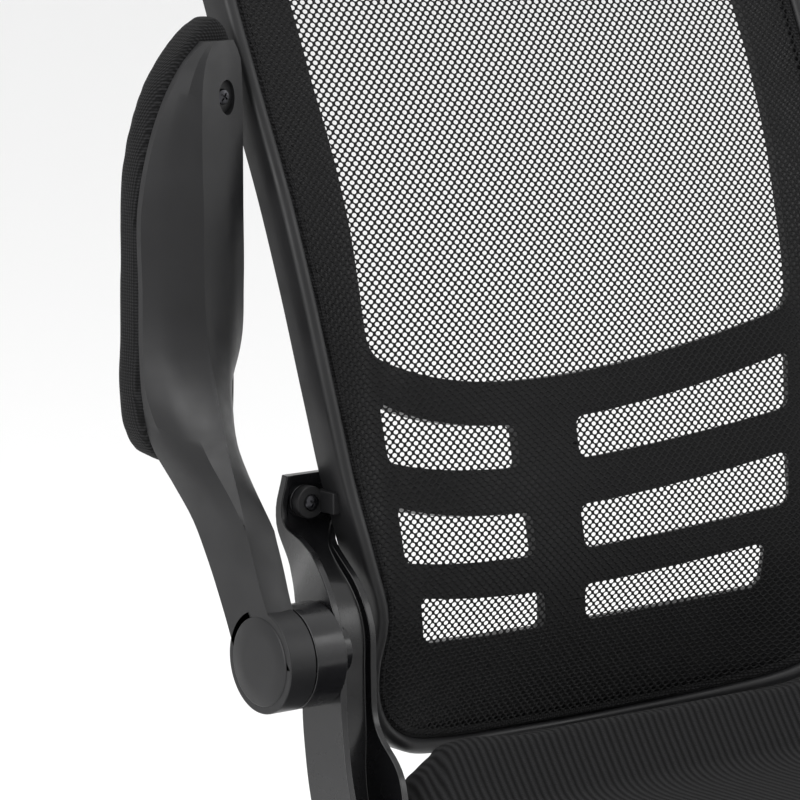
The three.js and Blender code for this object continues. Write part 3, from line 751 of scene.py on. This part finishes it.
def net_pieces():
    """Three strips of one stretched net, with a real hole in every mesh."""
    size, skin = bpy.context.scene.chair_net, finishes()["yarn"]
    across, row = size.across / MM, size.row / MM
    wide, high = size.hole_wide / MM, size.hole_high / MM
    rows = np.arange(-80, 160)
    places = np.array([(across * (k + 0.5 * (j % 2)), row * j) for j in rows for k in range(-45, 46)])
    inside = within(places, inset_outline(NET_INSET))
    places = places[inside]
    cell = link("net_mesh", new_mesh("net_mesh", *net_cell(across, row, wide, high, 0.9),
                                     at=ORIGIN), skin)
    form = link("net_form", net_form(), skin)
    bounds = np.quantile(places[:, 1], np.linspace(0, 1, NET_STRIPS + 1))
    bounds[-1] += 1
    for k in range(NET_STRIPS):
        part = places[(places[:, 1] >= bounds[k]) & (places[:, 1] < bounds[k + 1])]
        seeds = [(x, -LUMBAR.y / MM, z) for x, z in part]
        strip = points_object(f"back_net_{k + 1}", seeds, skin)
        tree, laid = net_tree(cell, form, skin)
        strip = tree.run(strip, laid)
        hem(strip.data)
        settle(strip, "seat", "net", ("back_mesh",), sharp=80)
    bpy.data.objects.remove(cell)
    bpy.data.objects.remove(form)


def edge_strip_pieces():
    """Woven strip over the net's edge, in the lip's groove, with its line of stitches."""
    skin = finishes()
    strip = [(9.0, 0.2), (11.4, -0.7), (14.0, -0.1), (14.2, 1.0), (13.4, 3.2), (9.2, 3.2)]
    made = piece("net_edge_strip", tube(border(strip), True), skin["arm_cloth"], "seat",
                 "seat_fabric", ("mesh_welt",), sharp=60)
    at, inward = lip_line(400)
    line = at + inward * 11.2
    seam = bpy.data.curves.new("seam_line", "CURVE")
    seam.dimensions = "3D"
    spline = seam.splines.new("POLY")
    spline.points.add(len(line) - 1)
    spline.use_cyclic_u = True
    for point, (x, z) in zip(spline.points, line):
        y = float(net_depth(x, z)) - 0.9
        point.co = (*(np.array((x, y, z)) * MM + np.array(LUMBAR)), 1)
    rings = [[(r, 0, z), (0, r, z), (-r, 0, z), (0, -r, z)]
             for z, r in ((-1.1, 0.15), (-0.5, 0.4), (0.5, 0.4), (1.1, 0.15))]
    thread = link("stitch", new_mesh("stitch", *tube(rings), at=ORIGIN), skin["arm_cloth"])
    base = bpy.data.objects.new("net_stitches", seam)
    bpy.context.scene.collection.objects.link(base)
    seam.materials.append(skin["arm_cloth"])
    tree = Tree("stitch_line", Stitch=thread, Pitch=3.4 * MM, Material=skin["arm_cloth"])
    steps = tree.node("GeometryNodeResampleCurve", {0: tree.given("Geometry")})
    steps.mode = "LENGTH"
    tree.tree.links.new(tree.given("Pitch"), steps.inputs["Length"])
    tangent = tree.node("GeometryNodeInputTangent")
    turn = tree.node("FunctionNodeAlignRotationToVector", {"Vector": tangent.outputs[0]}, axis="Z")
    stitches = tree.run(base, tree.copies("Stitch", steps.outputs[0], Rotation=turn.outputs[0]))
    settle(stitches, "seat", "seat_fabric")
    bpy.data.objects.remove(thread)
    return made


# ---- Padding
COVER_FRAMES = 20  # how long a pad is filled for


def inflated(obj, voxel, reach):
    """Fills a pad out under its cover, each point moving no further than a reach in millimetres."""
    skin = obj.data.materials[0]
    even = obj.modifiers.new("Even", "REMESH")
    even.mode, even.voxel_size = "VOXEL", voxel * MM
    bake(obj)
    rest = np.array([v.co for v in obj.data.vertices])
    cover = obj.modifiers.new("Cover", "CLOTH").settings
    cover.use_pressure, cover.uniform_pressure_force = True, 4
    cover.effector_weights.gravity, cover.quality = 0, 4
    for step in range(COVER_FRAMES):
        bpy.context.scene.frame_set(step + 1)
    swollen = plain_copy(obj)
    way = np.array([v.co for v in swollen.vertices]) - rest
    obj.modifiers.clear()
    bpy.context.scene.frame_set(1)
    far = np.linalg.norm(way, axis=1)[:, None]
    way *= np.minimum(1, reach * MM / np.maximum(far, 1e-9))
    for vertex, place in zip(obj.data.vertices, rest + way):
        vertex.co = place
    bpy.data.meshes.remove(swollen)
    obj.data.materials.clear()
    obj.data.materials.append(skin)
    return obj


# ---- Seat
SEAT_HALF = [
    (0, -60), (70, -60), (125, -61), (166, -65), (186, -76), (192, -96), (194, -140), (199, -190),
    (214, -240), (235, -300), (247, -370), (246, -440), (228, -498), (180, -526), (100, -538), (0, -540),
]
SEAT_EDGE = through(SEAT_HALF + [(-x, y) for x, y in SEAT_HALF[-2:0:-1]], 120, closed=True)
SEAT_MIDDLE = np.array((0, -320))
SEAT_UNDER = -286.7


def seat_top(x, y):
    """Height of the cushion's crown: a raised rear, a rolled front and slightly raised sides."""
    rear = (46 - 12 * smooth_step((np.abs(x) - 130) / 50)) * smooth_step((y + 118) / 40)
    front = -24 * smooth_step((-430 - y) / 110)
    sides = 8 * smooth_step((np.abs(x) - 90) / 130) * smooth_step((y + 520) / 120)
    return -214 + rear + front + sides


def seat_ring(scale, height):
    flat = (SEAT_EDGE - SEAT_MIDDLE) * scale + SEAT_MIDDLE
    z = height(flat[:, 0], flat[:, 1]) if callable(height) else np.full(len(flat), float(height))
    return np.column_stack([flat, z])


def seat_pieces():
    skin = finishes()
    shrink = 3  # the cover fills out by this much
    rings = [seat_ring(scale, SEAT_UNDER + up)
             for scale, up in ((0.3, 1), (0.93, 1), (0.975, 2), (0.985, 9), (0.99, 22))]
    rolled = [(0.988, 24), (0.972, 9), (0.94, 1.5)]
    crown = [(scale, 0) for scale in (0.9, 0.85, 0.8, 0.74, 0.67, 0.6, 0.5, 0.4, 0.3, 0.2, 0.1, 0.02)]
    rings += [seat_ring(scale, lambda x, y, down=down: seat_top(x, y) - down - shrink)
              for scale, down in rolled + crown]
    cushion = link("seat_cushion_cover", new_mesh("seat_cushion_cover", *tube(rings)), skin["seat_cloth"])
    inflated(cushion, 6, 5)
    settle(cushion, "seat", "seat_fabric", ("seat_cushion",), levels=1, sharp=180)
    shell = [seat_ring(scale, z) for scale, z in (
        (0.3, -300), (0.82, -300), (0.9, -298.5), (0.945, -294), (0.963, -290), (0.965, SEAT_UNDER - 0.3),
        (0.3, SEAT_UNDER - 0.3))]
    piece("seat_tray", tube(shell), skin["nylon"], "seat", "nylon", ("seat_pan",), sharp=45)


# ---- Arms
SHELL = [  # height: outer side, inner side, rear face, ridge across, ridge depth
    (-114, 265, 248.3, -54, 265, -102), (-90, 265, 248, -42, 265, -84), (-64, 265, 246.5, -27, 265, -71),
    (-47, 265, 246, -15, 264, -63), (-30, 268, 243, -2, 262, -54), (-10, 275, 237, 8, 260, -42),
    (15, 281, 228, 8, 257, -29), (42, 283, 219, 8, 254, -16), (75, 283, 217, 8, 252, -9),
    (120, 283, 217, 8, 252, -9), (145, 278, 217, 8, 252, -8), (168, 270, 217, 8, 250.5, -6),
    (185, 261, 217.5, 8, 248, -3.5), (198, 251, 219, 8, 243, -0.5), (206, 242, 223, 8, 236, 3),
]
PAD = [  # height: outer side, inner side
    (-22, 262, 240), (-17, 272, 229), (-6, 280, 220), (12, 284, 216.6), (50, 284.5, 216.6),
    (85, 284.5, 216.6), (120, 284, 216.6), (145, 281, 216.6), (168, 274, 216.6), (187, 265, 216.6),
    (202, 253, 218), (213, 241, 221), (219, 232, 226),
]
PAD_SCREW = {"x": 231, "y": 3, "z": 176}


def shell_rings(count):
    """Sections of the arm shell, flat on the neck and ridged under the pad."""
    rings = []
    for z, o, i, b, r, f in zip(*columns(SHELL, count)):
        slab = float(np.clip((z + 47) / 70, 0, 1))
        side = f + (b - 4 - f) * slab
        bulge = 0.5 + 0.12 * slab
        outer_edge = min(b - 1, side + (1 - slab) * 18)
        cheek, crest = side + (f - side) * bulge - 1, f + 0.05 * (side - f)
        section = [(o, b), (o, outer_edge), (o + (r - o) * 0.22, outer_edge + (f - outer_edge) * 0.34),
                   ((r + o) / 2, cheek), (r + (o - r) * 0.06, crest), (r, f), (r + (i - r) * 0.06, crest),
                   ((r + i) / 2, cheek), (i + (r - i) * 0.2, side + (f - side) * 0.3), (i, side), (i, b)]
        rings.append([(-x, y, z) for x, y in section])
    return rings


def on_pivot(part, sign=1):
    """A turned part put on the arms' hinge line, on one side of the chair."""
    return moved(moved(part, along_x, (0, HUB["y"], HUB["z"])), flipped(sign))


def arm_pieces(side):
    skin, sign = finishes(), -SIDES[side]
    out = -HUB["out"]
    boss = on_pivot(disc(HUB["r"], out, -HUB["seam"] - HINGE_GAP, 96), sign)
    drum = link(f"arm_drum_{side}", new_mesh("arm_drum", *boss), skin["pad_shell"])
    cut(drum, on_pivot(disc(CAP_RADIUS + 0.1, out - 1, out + 2.6, 64), sign))
    settle(drum, f"arm_{side}", "nylon", bevel=0.8, sharp=32)
    grown = moved(tube(shell_rings(64)), flipped(sign))
    shell = link(f"arm_moulding_{side}", new_mesh("arm_moulding", *grown), skin["pad_shell"])
    x, _, z = PAD_SCREW.values()
    oval = moved(disc(6.5, -30, 3.5, 48), along_y)
    oval = ([(px, py, pz * 1.45) for px, py, pz in oval[0]], oval[1])
    cut(shell, moved(moved(oval, None, (-x, 0, z)), flipped(sign)))
    settle(shell, f"arm_{side}", "nylon", (f"arm_shell_{side}",), bevel=0.7, sharp=24)
    cap = [(0, 2.3), (CAP_RADIUS, 2.3), (CAP_RADIUS, 0), (24, -0.02), (23.8, -0.4), (23, -0.8), (14, -1),
           (0, -1.1)]
    cap = turned([(r, out + z) for r, z in cap], 72)
    piece(f"arm_cap_{side}", on_pivot(cap, sign), skin["pad_shell"], f"arm_{side}", "nylon",
          (f"arm_hub_cap_{side}",))
    rings = []
    for z, o, i in zip(*columns(PAD, 34)):
        end = min(z - PAD[0][0], PAD[-1][0] - z)
        ease = 1 - math.sqrt(1 - (1 - min(1, end / 12)) ** 2)
        front, back = 8.3 + 3.6 * ease, 33.3 - 7 * ease
        edge = min(9, (o - i) / 4)
        section = [(o - 0.3, front + 3), (o - 3, front), (i + 3, front), (i + 0.3, front + 3),
                   (i + 0.3, back - 9), (i + 2, back - 3.5), (i + edge, back), ((o + i) / 2, back + 2),
                   (o - edge, back), (o - 2, back - 3.5), (o - 0.3, back - 9)]
        rings.append([(-x, y, z) for x, y in section])
    pad = link(f"arm_pad_cover_{side}", new_mesh("arm_pad_cover", *moved(tube(rings), flipped(sign))),
               skin["arm_cloth"])
    inflated(pad, 4, 1.5)
    settle(pad, f"arm_{side}", "arm_fabric", (f"arm_pad_{side}",), levels=1, sharp=180)


# ---- Screws
def screw_head(radius):
    """Pan head with a cross recess, facing -Y, about the origin."""
    dome = [(0, 0), (radius, 0), (radius, 0.5), (radius * 0.9, 1.3), (radius * 0.55, 1.9), (0, 2.1)]
    head = link("screw_head", new_mesh("screw_head", *moved(turned(dome, 40), lambda x, y, z: (x, -z, y)),
                                       at=ORIGIN), finishes()["dark_screw"])
    wide, long = radius * 0.13, radius * 0.58
    for across, up in ((wide, long), (long, wide)):
        arm = tube([[(-across, y, -up), (across, y, -up), (across, y, up), (-across, y, up)]
                    for y in (-4, -0.8)])
        cut(head, arm, at=ORIGIN)
    return head


def screws(name, places, radius, body, stands_for):
    """Screw heads on places, all facing the sitter's front."""
    head = screw_head(radius)
    seeds = points_object(name, places, finishes()["dark_screw"])
    tree = Tree("screw_set", Screw=head, Turn=0.6, Material=finishes()["dark_screw"])
    spin = tree.node("ShaderNodeCombineXYZ", {1: tree.given("Turn")})
    made = tree.run(seeds, tree.copies("Screw", tree.given("Geometry"), Rotation=spin.outputs[0]))
    bpy.data.objects.remove(head)
    return settle(made, body, "steel", stands_for)


# ---- Uprights
UPRIGHT_LINE = [  # rear line of a channel, as (depth, height), from its top to under the seat
    (-12.3, -30), (-12.3, -58), (-32, -78), (-50, -93), (-60, -110), (-62, -132), (-65, -160),
    (-75, -195), (-92, -235), (-122, -280), (-160, -308), (-210, -318.5), (-255, -318.8),
]
CHANNEL = [  # share of the line: outer side, inner side, outer wall's depth, inner wall's depth
    (0, 203, 176, 5, 5), (0.02, 207, 168, 5, 5), (0.066, 208, 166, 6, 5), (0.1, 209, 180, 12, 5.5),
    (0.14, 214, 181, 22, 8), (0.2, 226, 182, 34, 8), (0.36, 229, 185, 36, 9), (0.42, 231, 191, 36, 34),
    (0.62, 234, 199, 36, 35),
    (0.78, 235, 201, 24, 24), (0.86, 230, 196, 17, 17), (1, 202, 164, 17, 17),
]


def channel_rings(count=96):
    line = through(UPRIGHT_LINE, count)
    along = np.gradient(line, axis=0)
    along /= np.linalg.norm(along, axis=1)[:, None]
    share = np.linspace(0, 1, count)
    table = np.array(CHANNEL)
    sizes = np.stack([np.interp(share, table[:, 0], table[:, k]) for k in range(1, 5)], axis=1)
    kernel = np.ones(5) / 5
    padded_sizes = np.pad(sizes, ((2, 2), (0, 0)), mode="edge")
    sizes = np.stack([np.convolve(column, kernel, "valid") for column in padded_sizes.T], axis=1)
    rings = []
    for (y, z), (ty, tz), (out, inner, deep_out, deep_in) in zip(line, along, sizes):
        section = [(out, 0), (inner, 0), (inner, deep_in), (inner + 4, deep_in), (inner + 5, 4.5),
                   (out - 5, 4.5), (out - 4, deep_out), (out, deep_out)]
        rings.append([(-x, y + tz * d, z - ty * d) for x, d in section])
    return rings


def upright_pieces(side):
    skin, sign, inside = finishes(), -SIDES[side], -HUB["inside"]
    channel = tube(channel_rings())
    boss = on_pivot(disc(HUB["r"], -HUB["seam"] + HINGE_GAP, inside, 96))
    collar = on_pivot(disc(14, inside - 2, inside + 14, 48))
    stud = moved(disc(9, -17.3, -11, 40), along_y, (-EAR[0], 0, EAR[1]))
    piece(f"upright_bracket_{side}", moved(joined(channel, boss, collar, stud), flipped(sign)),
          skin["gloss"], "seat", "gloss_black", (f"upright_{side}",), bevel=1.1, sharp=35)


# ---- Base, casters and column
REACH = 310  # from the column to a caster's stem
LEG_STATIONS = [  # along the leg: half width, underside, top
    (20, 25, 74, 128), (80, 20.5, 82, 121), (180, 17, 80, 111.5), (270, 14.5, 74, 101), (308, 13.5, 70, 97),
]


def leg_rings(count=28):
    rings = []
    for x, h, foot, crown in zip(*columns(LEG_STATIONS, count)):
        arch = [(h * math.cos(a), crown - 12 + 12 * math.sin(a)) for a in np.linspace(0, math.pi, 13)]
        rings.append([(x, -h + 1.5, foot), (x, h - 1.5, foot), *[(x, w, z) for w, z in arch]])
    return rings


def base_pieces():
    skin = finishes()["nylon"]
    parts = []
    socket = moved(turned([(6, 66), (16, 66), (16, 94), (13, 98), (0, 98), (0, 91), (6, 91)], 40),
                   by=(REACH, 0, 0))
    for k in range(len(CASTERS)):
        turn = math.radians(-90 + 72 * k)
        spin = about_z(math.cos(turn), math.sin(turn))
        parts += [moved(tube(leg_rings()), spin), moved(socket, spin)]
    hub = turned([(25.3, 68), (34, 68), (38, 73), (38, 124), (34, 130.5), (28, 131), (25.3, 131)], 72)
    piece("star_base", joined(hub, *parts), skin, "base", "nylon", ("base_star",), at=COLUMN,
          bevel=1.2, sharp=40)


def caster_pieces(name):
    """One twin-wheel caster: a hooded fork on its own body, and both wheels as one piece on another."""
    skin = finishes()
    trail, wheel_r, wide, fin, hood_half = 20, 29, 16.5, 9, 21.4
    stem = floor_under(f"caster_stem_{name}")
    way = (floor_under(f"caster_axle_{name}") - stem).normalized()
    spin = about_z(way.x, way.y)

    def arc(r, start, end, steps):
        return [(trail + r * math.cos(a), wheel_r + r * math.sin(a))
                for a in np.radians(np.linspace(start, end, steps))]

    plate = [*arc(32, 8, 176, 24), *arc(16, 192, 348, 10)]
    fork = tube([[(x, y, z) for x, z in plate] for y in (-fin / 2, fin / 2)])
    shade = []
    for y in np.linspace(-hood_half, hood_half, 13):
        drop = 2.6 * (abs(y) / hood_half) ** 4
        arch = [*arc(33 - drop * 0.5, 13, 167, 26), *arc(30.7 - drop * 0.1, 167, 13, 26)]
        shade.append([(x, y, z) for x, z in arch])
    neck = turned([(5.8, 57.2), (12, 57.2), (11, 65.4), (5.8, 65.4)], 40)
    piece(f"caster_hood_{name}", moved(joined(fork, tube(shade), neck), spin), skin["nylon"],
          f"caster_{name}", "nylon", (f"caster_body_{name}",), at=stem, bevel=0.7, sharp=35)
    tyre = [(4.2, 2.4), (9, 2.4), (9.6, 1), (23, 1), (25, 0.2), (27.6, 0), (28.8, 1.2),
            (wheel_r, 3), (wheel_r, wide - 4), (28.6, wide - 2), (27.4, wide - 0.5), (25.6, wide),
            (24.4, wide - 0.4), (23.6, wide - 1.8), (13, wide - 3.4), (9.4, wide - 1.2),
            (7, wide - 0.4), (4.2, wide - 0.4)]
    wheels = []
    for way_out in (1, -1):
        half = [(r, way_out * (fin / 2 + 0.5 + w)) for r, w in tyre]
        wheels.append(moved(turned(half, 56), lambda x, y, z: (x, z, y), (trail, 0, wheel_r)))
    nodes = [f"caster_wheel_{ab}_{name}" for ab in "ab"]
    piece(f"caster_wheels_{name}", moved(joined(*wheels), spin), skin["tread"], f"wheels_{name}",
          "tread", nodes, at=stem, sharp=40)


def column_pieces():
    """Three telescoping covers of the gas spring."""
    skin = finishes()["nylon"]
    bodies = {"sleeve_lower": "base", "sleeve_middle": "mid_sleeve", "sleeve_upper": "carrier"}
    for node, body in bodies.items():
        low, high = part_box(node)
        outer = (high.x - low.x) / 2 / MM
        foot, top = low.z / MM, high.z / MM
        wall = 2
        rim = [(outer - wall, foot), (outer, foot), (outer, top - 5), (outer - 0.6, top - 4.2),
               (outer - 0.6, top - 1), (outer - 1.1, top), (outer - wall, top)]
        piece(node + "_cover", turned(rim, 80), skin, body, "nylon", (node,), at=COLUMN)


def mechanism_pieces():
    """Tilt mechanism, its tension knob and the height lever."""
    skin = finishes()
    for node, body in (("mechanism_housing", "carrier"), ("seat_plate", "seat")):
        softened(node, skin["coated"], body, "black_steel", 0.9)
    low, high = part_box("tension_knob")
    foot, top = low.z / MM, low.z / MM + 32
    rings = []
    for z, out in ((foot, 0.80), (foot + 1.2, 0.9), (foot + 4, 0.98), (foot + 10, 1.0), (top - 6, 0.97),
                   (top - 2, 0.93), (top, 0.86)):
        turns = np.linspace(0, 2 * math.pi, 128, endpoint=False)
        rings.append(round_ring((25.5 + 1.6 * np.cos(8 * turns)) * out, z, turns))
    shaft = disc(5, top - 4, high.z / MM, 32)
    piece("knob_grip", joined(tube(rings), shaft), skin["nylon"], "knob", "nylon", ("tension_knob",),
          at=floor_under("tension_knob"), sharp=45)
    low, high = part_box("height_lever")
    z = high.z / MM - 4
    route = [(14, z), (-60, z), (-140, z), (-160, z - 2), (-178, z - 9), (-215, z - 14), (-242, z - 16)]
    turns = np.linspace(0, 2 * math.pi, 28)[:-1]
    rings = []
    for x, height in through(route, 60):
        flat = float(smooth_step((-140 - x) / 40))
        end = math.sqrt(max(0.02, 1 - max(0, (-232 - x) / 10.2) ** 2))
        wide, thick = (4 + 7.5 * flat) * end, (4 + 0.2 * flat) * (0.55 + 0.45 * end)
        rings.append([(x, wide * math.cos(a), height + thick * math.sin(a)) for a in turns])
    piece("lever_handle", tube(rings), skin["nylon"], "lever", "nylon", ("height_lever",), at=COLUMN)


def dress_frame_nodes():
    """Gives every CAD piece that still shows its finish."""
    skin = finishes()
    kinds = {"steel": ("thrust_bearing", "valve_pin", "tilt_axle", "lock_slider", "caster_stem",
                       "caster_axle", "arm_pivot_bolt"),
             "chrome": ("piston_rod", "spring_tube"), "coated": ("column_tube",), "nylon": ("column_bush",)}
    for finish, starts in kinds.items():
        for node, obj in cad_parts.items():
            if node.startswith(starts):
                obj.data.materials.clear()
                obj.data.materials.append(skin[finish])


# ---- Studio
def soft_light(name, place, aim, size, power):
    lamp = bpy.data.lights.new(name, "AREA")
    lamp.shape, lamp.size, lamp.size_y, lamp.energy = "RECTANGLE", size[0], size[1], power
    obj = bpy.data.objects.new(name, lamp)
    obj.location = place
    obj.rotation_euler = (Vector(aim) - Vector(place)).to_track_quat("-Z", "Y").to_euler()
    bpy.context.scene.collection.objects.link(obj)


def studio():
    """Pale sweep of floor and wall, soft lights and the camera."""
    scene, size = bpy.context.scene, bpy.context.scene.chair_studio
    paper = Finish("studio_paper", tuple(size.paper), 0.9)
    reach, bend, tall = 14, 3, 9
    curve = [(-reach, 0.0)] + [(reach - bend + bend * math.sin(a), bend - bend * math.cos(a))
                               for a in np.linspace(0, math.pi / 2, 24)] + [(reach, tall)]
    points, faces = [], []
    for k, (y, z) in enumerate(curve):
        points += [(-reach, y, z), (reach, y, z)]
        if k:
            faces.append((2 * k - 2, 2 * k - 1, 2 * k + 1, 2 * k))
    sweep = bpy.data.meshes.new("studio_sweep")
    turn = Matrix.Rotation(math.radians(size.azimuth), 3, "Z")
    sweep.from_pydata([turn @ Vector(p) for p in points], [], faces)
    sweep.shade_smooth()
    floor = link("studio_sweep", sweep, paper.material)

    world = bpy.data.worlds.new("studio_air")
    world.use_nodes = True
    air = world.node_tree.nodes["Background"]
    air.inputs["Color"].default_value = (1, 1, 1, 1)
    air.inputs["Strength"].default_value = size.air
    scene.world = world
    scene.view_settings.view_transform = "Standard"
    target = (0, 0.1, 0.6)
    soft_light("left_window", (-2.6, -0.6, 1.6), target, (1.6, 2.2), size.key)
    soft_light("right_window", (2.4, -1.8, 1.9), target, (1.6, 2.0), size.key * 0.45)
    soft_light("top_window", (0, -0.2, 3.2), target, (2.4, 2.4), size.key * 0.5)

    camera = bpy.data.cameras.new("camera")
    camera.lens, camera.sensor_width = size.lens, 36
    camera.clip_start, camera.clip_end = 0.1, 60
    eye = bpy.data.objects.new("camera", camera)
    scene.collection.objects.link(eye)
    a, e = math.radians(size.azimuth), math.radians(size.elevation)
    back = Vector((math.sin(a) * math.cos(e), -math.cos(a) * math.cos(e), math.sin(e)))
    looked_at = LUMBAR + Vector((size.aim_across, 0, 0))
    eye.location = looked_at + back * size.distance
    eye.rotation_euler = (-back).to_track_quat("-Z", "Y").to_euler()
    scene.camera = eye


# ---- Sizes and colours that a user would change
def number(name, description, value, unit="NONE"):
    return FloatProperty(name=name, description=description, default=value, unit=unit)


def length(name, description, millimetres):
    return number(name, description, millimetres * MM, "LENGTH")


class ChairNet(bpy.types.PropertyGroup):
    across: length("Hole spacing", "Across a row", 5.15)
    row: length("Row spacing", "From one row to the next", 2.45)
    hole_wide: length("Hole width", "Across the net", 3.2)
    hole_high: length("Hole height", "Up the net", 2.5)


class ChairCloth(bpy.types.PropertyGroup):
    rib: length("Rib spacing", "Between two ribs of the seat cloth", 5)
    thread: length("Cross threads", "Between threads across the ribs", 1.5)
    weave: length("Arm weave", "Between two threads of the arm cloth", 3.4)


def colour(name, description, value):
    return FloatVectorProperty(name=name, description=description, default=value, subtype="COLOR",
                               min=0, max=1)


class ChairColours(bpy.types.PropertyGroup):
    nylon: colour("Mouldings", "Frame, arms, base and casters", (0.006, 0.006, 0.0065))
    gloss: colour("Brackets", "Polished uprights", (0.003, 0.003, 0.0035))
    cloth: colour("Cloth", "Seat and arm pads", (0.002, 0.002, 0.0022))
    # painted highlight colour laid on the raised threads of the seat and arm cloth
    cloth_crown_highlight: colour("Cloth crowns", "Raised threads that catch the light", (0.016, 0.016, 0.0168))
    net: colour("Net", "Yarn of the back", (0.004, 0.004, 0.0042))


class ChairStudio(bpy.types.PropertyGroup):
    paper: colour("Paper", "Floor and wall", (0.9, 0.9, 0.9))
    air: number("Air light", "Even light from all round", 1.0)
    key: number("Window light", "Power of the left window", 60, "POWER")
    azimuth: number("Azimuth", "Camera's turn about the chair, in degrees", -37.4)
    elevation: number("Elevation", "Camera's height in degrees", 9.7)
    distance: number("Distance", "From the camera to the lumbar line", 2.5, "LENGTH")
    aim_across: number("Aim", "Where the camera looks, across the back", -0.114, "LENGTH")
    lens: number("Lens", "Focal length in millimetres", 202.5, "CAMERA")


# ---- Operators
class Step:
    """One building step, run by its button or from main."""
    def execute(self, context):
        self.build()
        return {"FINISHED"}


class CHAIR_OT_studio(Step, bpy.types.Operator):
    """Lay the paper, hang the lights and set the camera"""
    bl_idname = "chair.studio"
    bl_label = "Studio"
    build = staticmethod(studio)


class CHAIR_OT_back_frame(Step, bpy.types.Operator):
    """Build the moulded back with its window, slots, lip and ears"""
    bl_idname = "chair.back_frame"
    bl_label = "Back frame"
    build = staticmethod(back_frame_pieces)


class CHAIR_OT_net(Step, bpy.types.Operator):
    """Knit the net and stretch it over the back"""
    bl_idname = "chair.net"
    bl_label = "Net"
    build = staticmethod(net_pieces)


class CHAIR_OT_edge_strip(Step, bpy.types.Operator):
    """Sew the strip that holds the net in the lip"""
    bl_idname = "chair.edge_strip"
    bl_label = "Edge strip"
    build = staticmethod(edge_strip_pieces)


class CHAIR_OT_seat(Step, bpy.types.Operator):
    """Pad and cover the seat, and fit its tray"""
    bl_idname = "chair.seat"
    bl_label = "Seat"
    build = staticmethod(seat_pieces)


class CHAIR_OT_arms(Step, bpy.types.Operator):
    """Build both flip-up arms with their pads, caps and screws"""
    bl_idname = "chair.arms"
    bl_label = "Arms"

    def build(self):
        for side, sign in SIDES.items():
            arm_pieces(side)
            place = (sign * PAD_SCREW["x"], PAD_SCREW["y"] + 0.2, PAD_SCREW["z"])
            screws(f"arm_screw_{side}", [place], 4.2, f"arm_{side}", (f"arm_pad_screw_{side}",))


class CHAIR_OT_uprights(Step, bpy.types.Operator):
    """Build the polished channels that carry the back and the arms"""
    bl_idname = "chair.uprights"
    bl_label = "Uprights"

    def build(self):
        for side in SIDES:
            upright_pieces(side)
        ears = [(sign * EAR[0], -24.3, EAR[1]) for sign in SIDES.values()]
        screws("upright_screws", ears, 4.6, "seat", ("upright_screw_right", "upright_screw_left"))


class CHAIR_OT_base(Step, bpy.types.Operator):
    """Build the five-star base"""
    bl_idname = "chair.base"
    bl_label = "Base"
    build = staticmethod(base_pieces)


class CHAIR_OT_casters(Step, bpy.types.Operator):
    """Build the five twin-wheel casters"""
    bl_idname = "chair.casters"
    bl_label = "Casters"

    def build(self):
        for name in CASTERS:
            caster_pieces(name)


class CHAIR_OT_column(Step, bpy.types.Operator):
    """Build the covers of the gas column"""
    bl_idname = "chair.column"
    bl_label = "Column covers"
    build = staticmethod(column_pieces)


class CHAIR_OT_mechanism(Step, bpy.types.Operator):
    """Build the tilt mechanism, its knob and the height lever"""
    bl_idname = "chair.mechanism"
    bl_label = "Mechanism"
    build = staticmethod(mechanism_pieces)


class CHAIR_OT_dress(Step, bpy.types.Operator):
    """Give the remaining frame parts their finishes"""
    bl_idname = "chair.dress"
    bl_label = "Frame finishes"
    build = staticmethod(dress_frame_nodes)


STEPS = (
    CHAIR_OT_studio, CHAIR_OT_back_frame, CHAIR_OT_edge_strip, CHAIR_OT_net, CHAIR_OT_seat,
    CHAIR_OT_arms, CHAIR_OT_uprights, CHAIR_OT_base, CHAIR_OT_casters, CHAIR_OT_column,
    CHAIR_OT_mechanism, CHAIR_OT_dress,
)


class CHAIR_PT_parts(bpy.types.Panel):
    """Sizes, colours and building steps of the chair"""
    bl_idname = "CHAIR_PT_parts"
    bl_label = "Office chair"
    bl_space_type = "VIEW_3D"
    bl_region_type = "UI"
    bl_category = "Chair"

    def draw(self, context):
        for group in (context.scene.chair_net, context.scene.chair_cloth, context.scene.chair_colours,
                      context.scene.chair_studio):
            box = self.layout.box()
            for key in group.__annotations__:
                box.prop(group, key)
        for step in STEPS:
            self.layout.operator(step.bl_idname)


GROUPS = {"chair_net": ChairNet, "chair_cloth": ChairCloth, "chair_colours": ChairColours,
          "chair_studio": ChairStudio}
CLASSES = (*GROUPS.values(), *STEPS, CHAIR_PT_parts)


def register():
    for cls in CLASSES:
        bpy.utils.register_class(cls)
    for key, group in GROUPS.items():
        setattr(bpy.types.Scene, key, PointerProperty(type=group))


def unregister():
    for key in GROUPS:
        delattr(bpy.types.Scene, key)
    for cls in reversed(CLASSES):
        bpy.utils.unregister_class(cls)


def main():
    register()
    for step in STEPS:
        section, name = step.bl_idname.split(".")
        getattr(getattr(bpy.ops, section), name)()


if __name__ == "__main__":
    main()
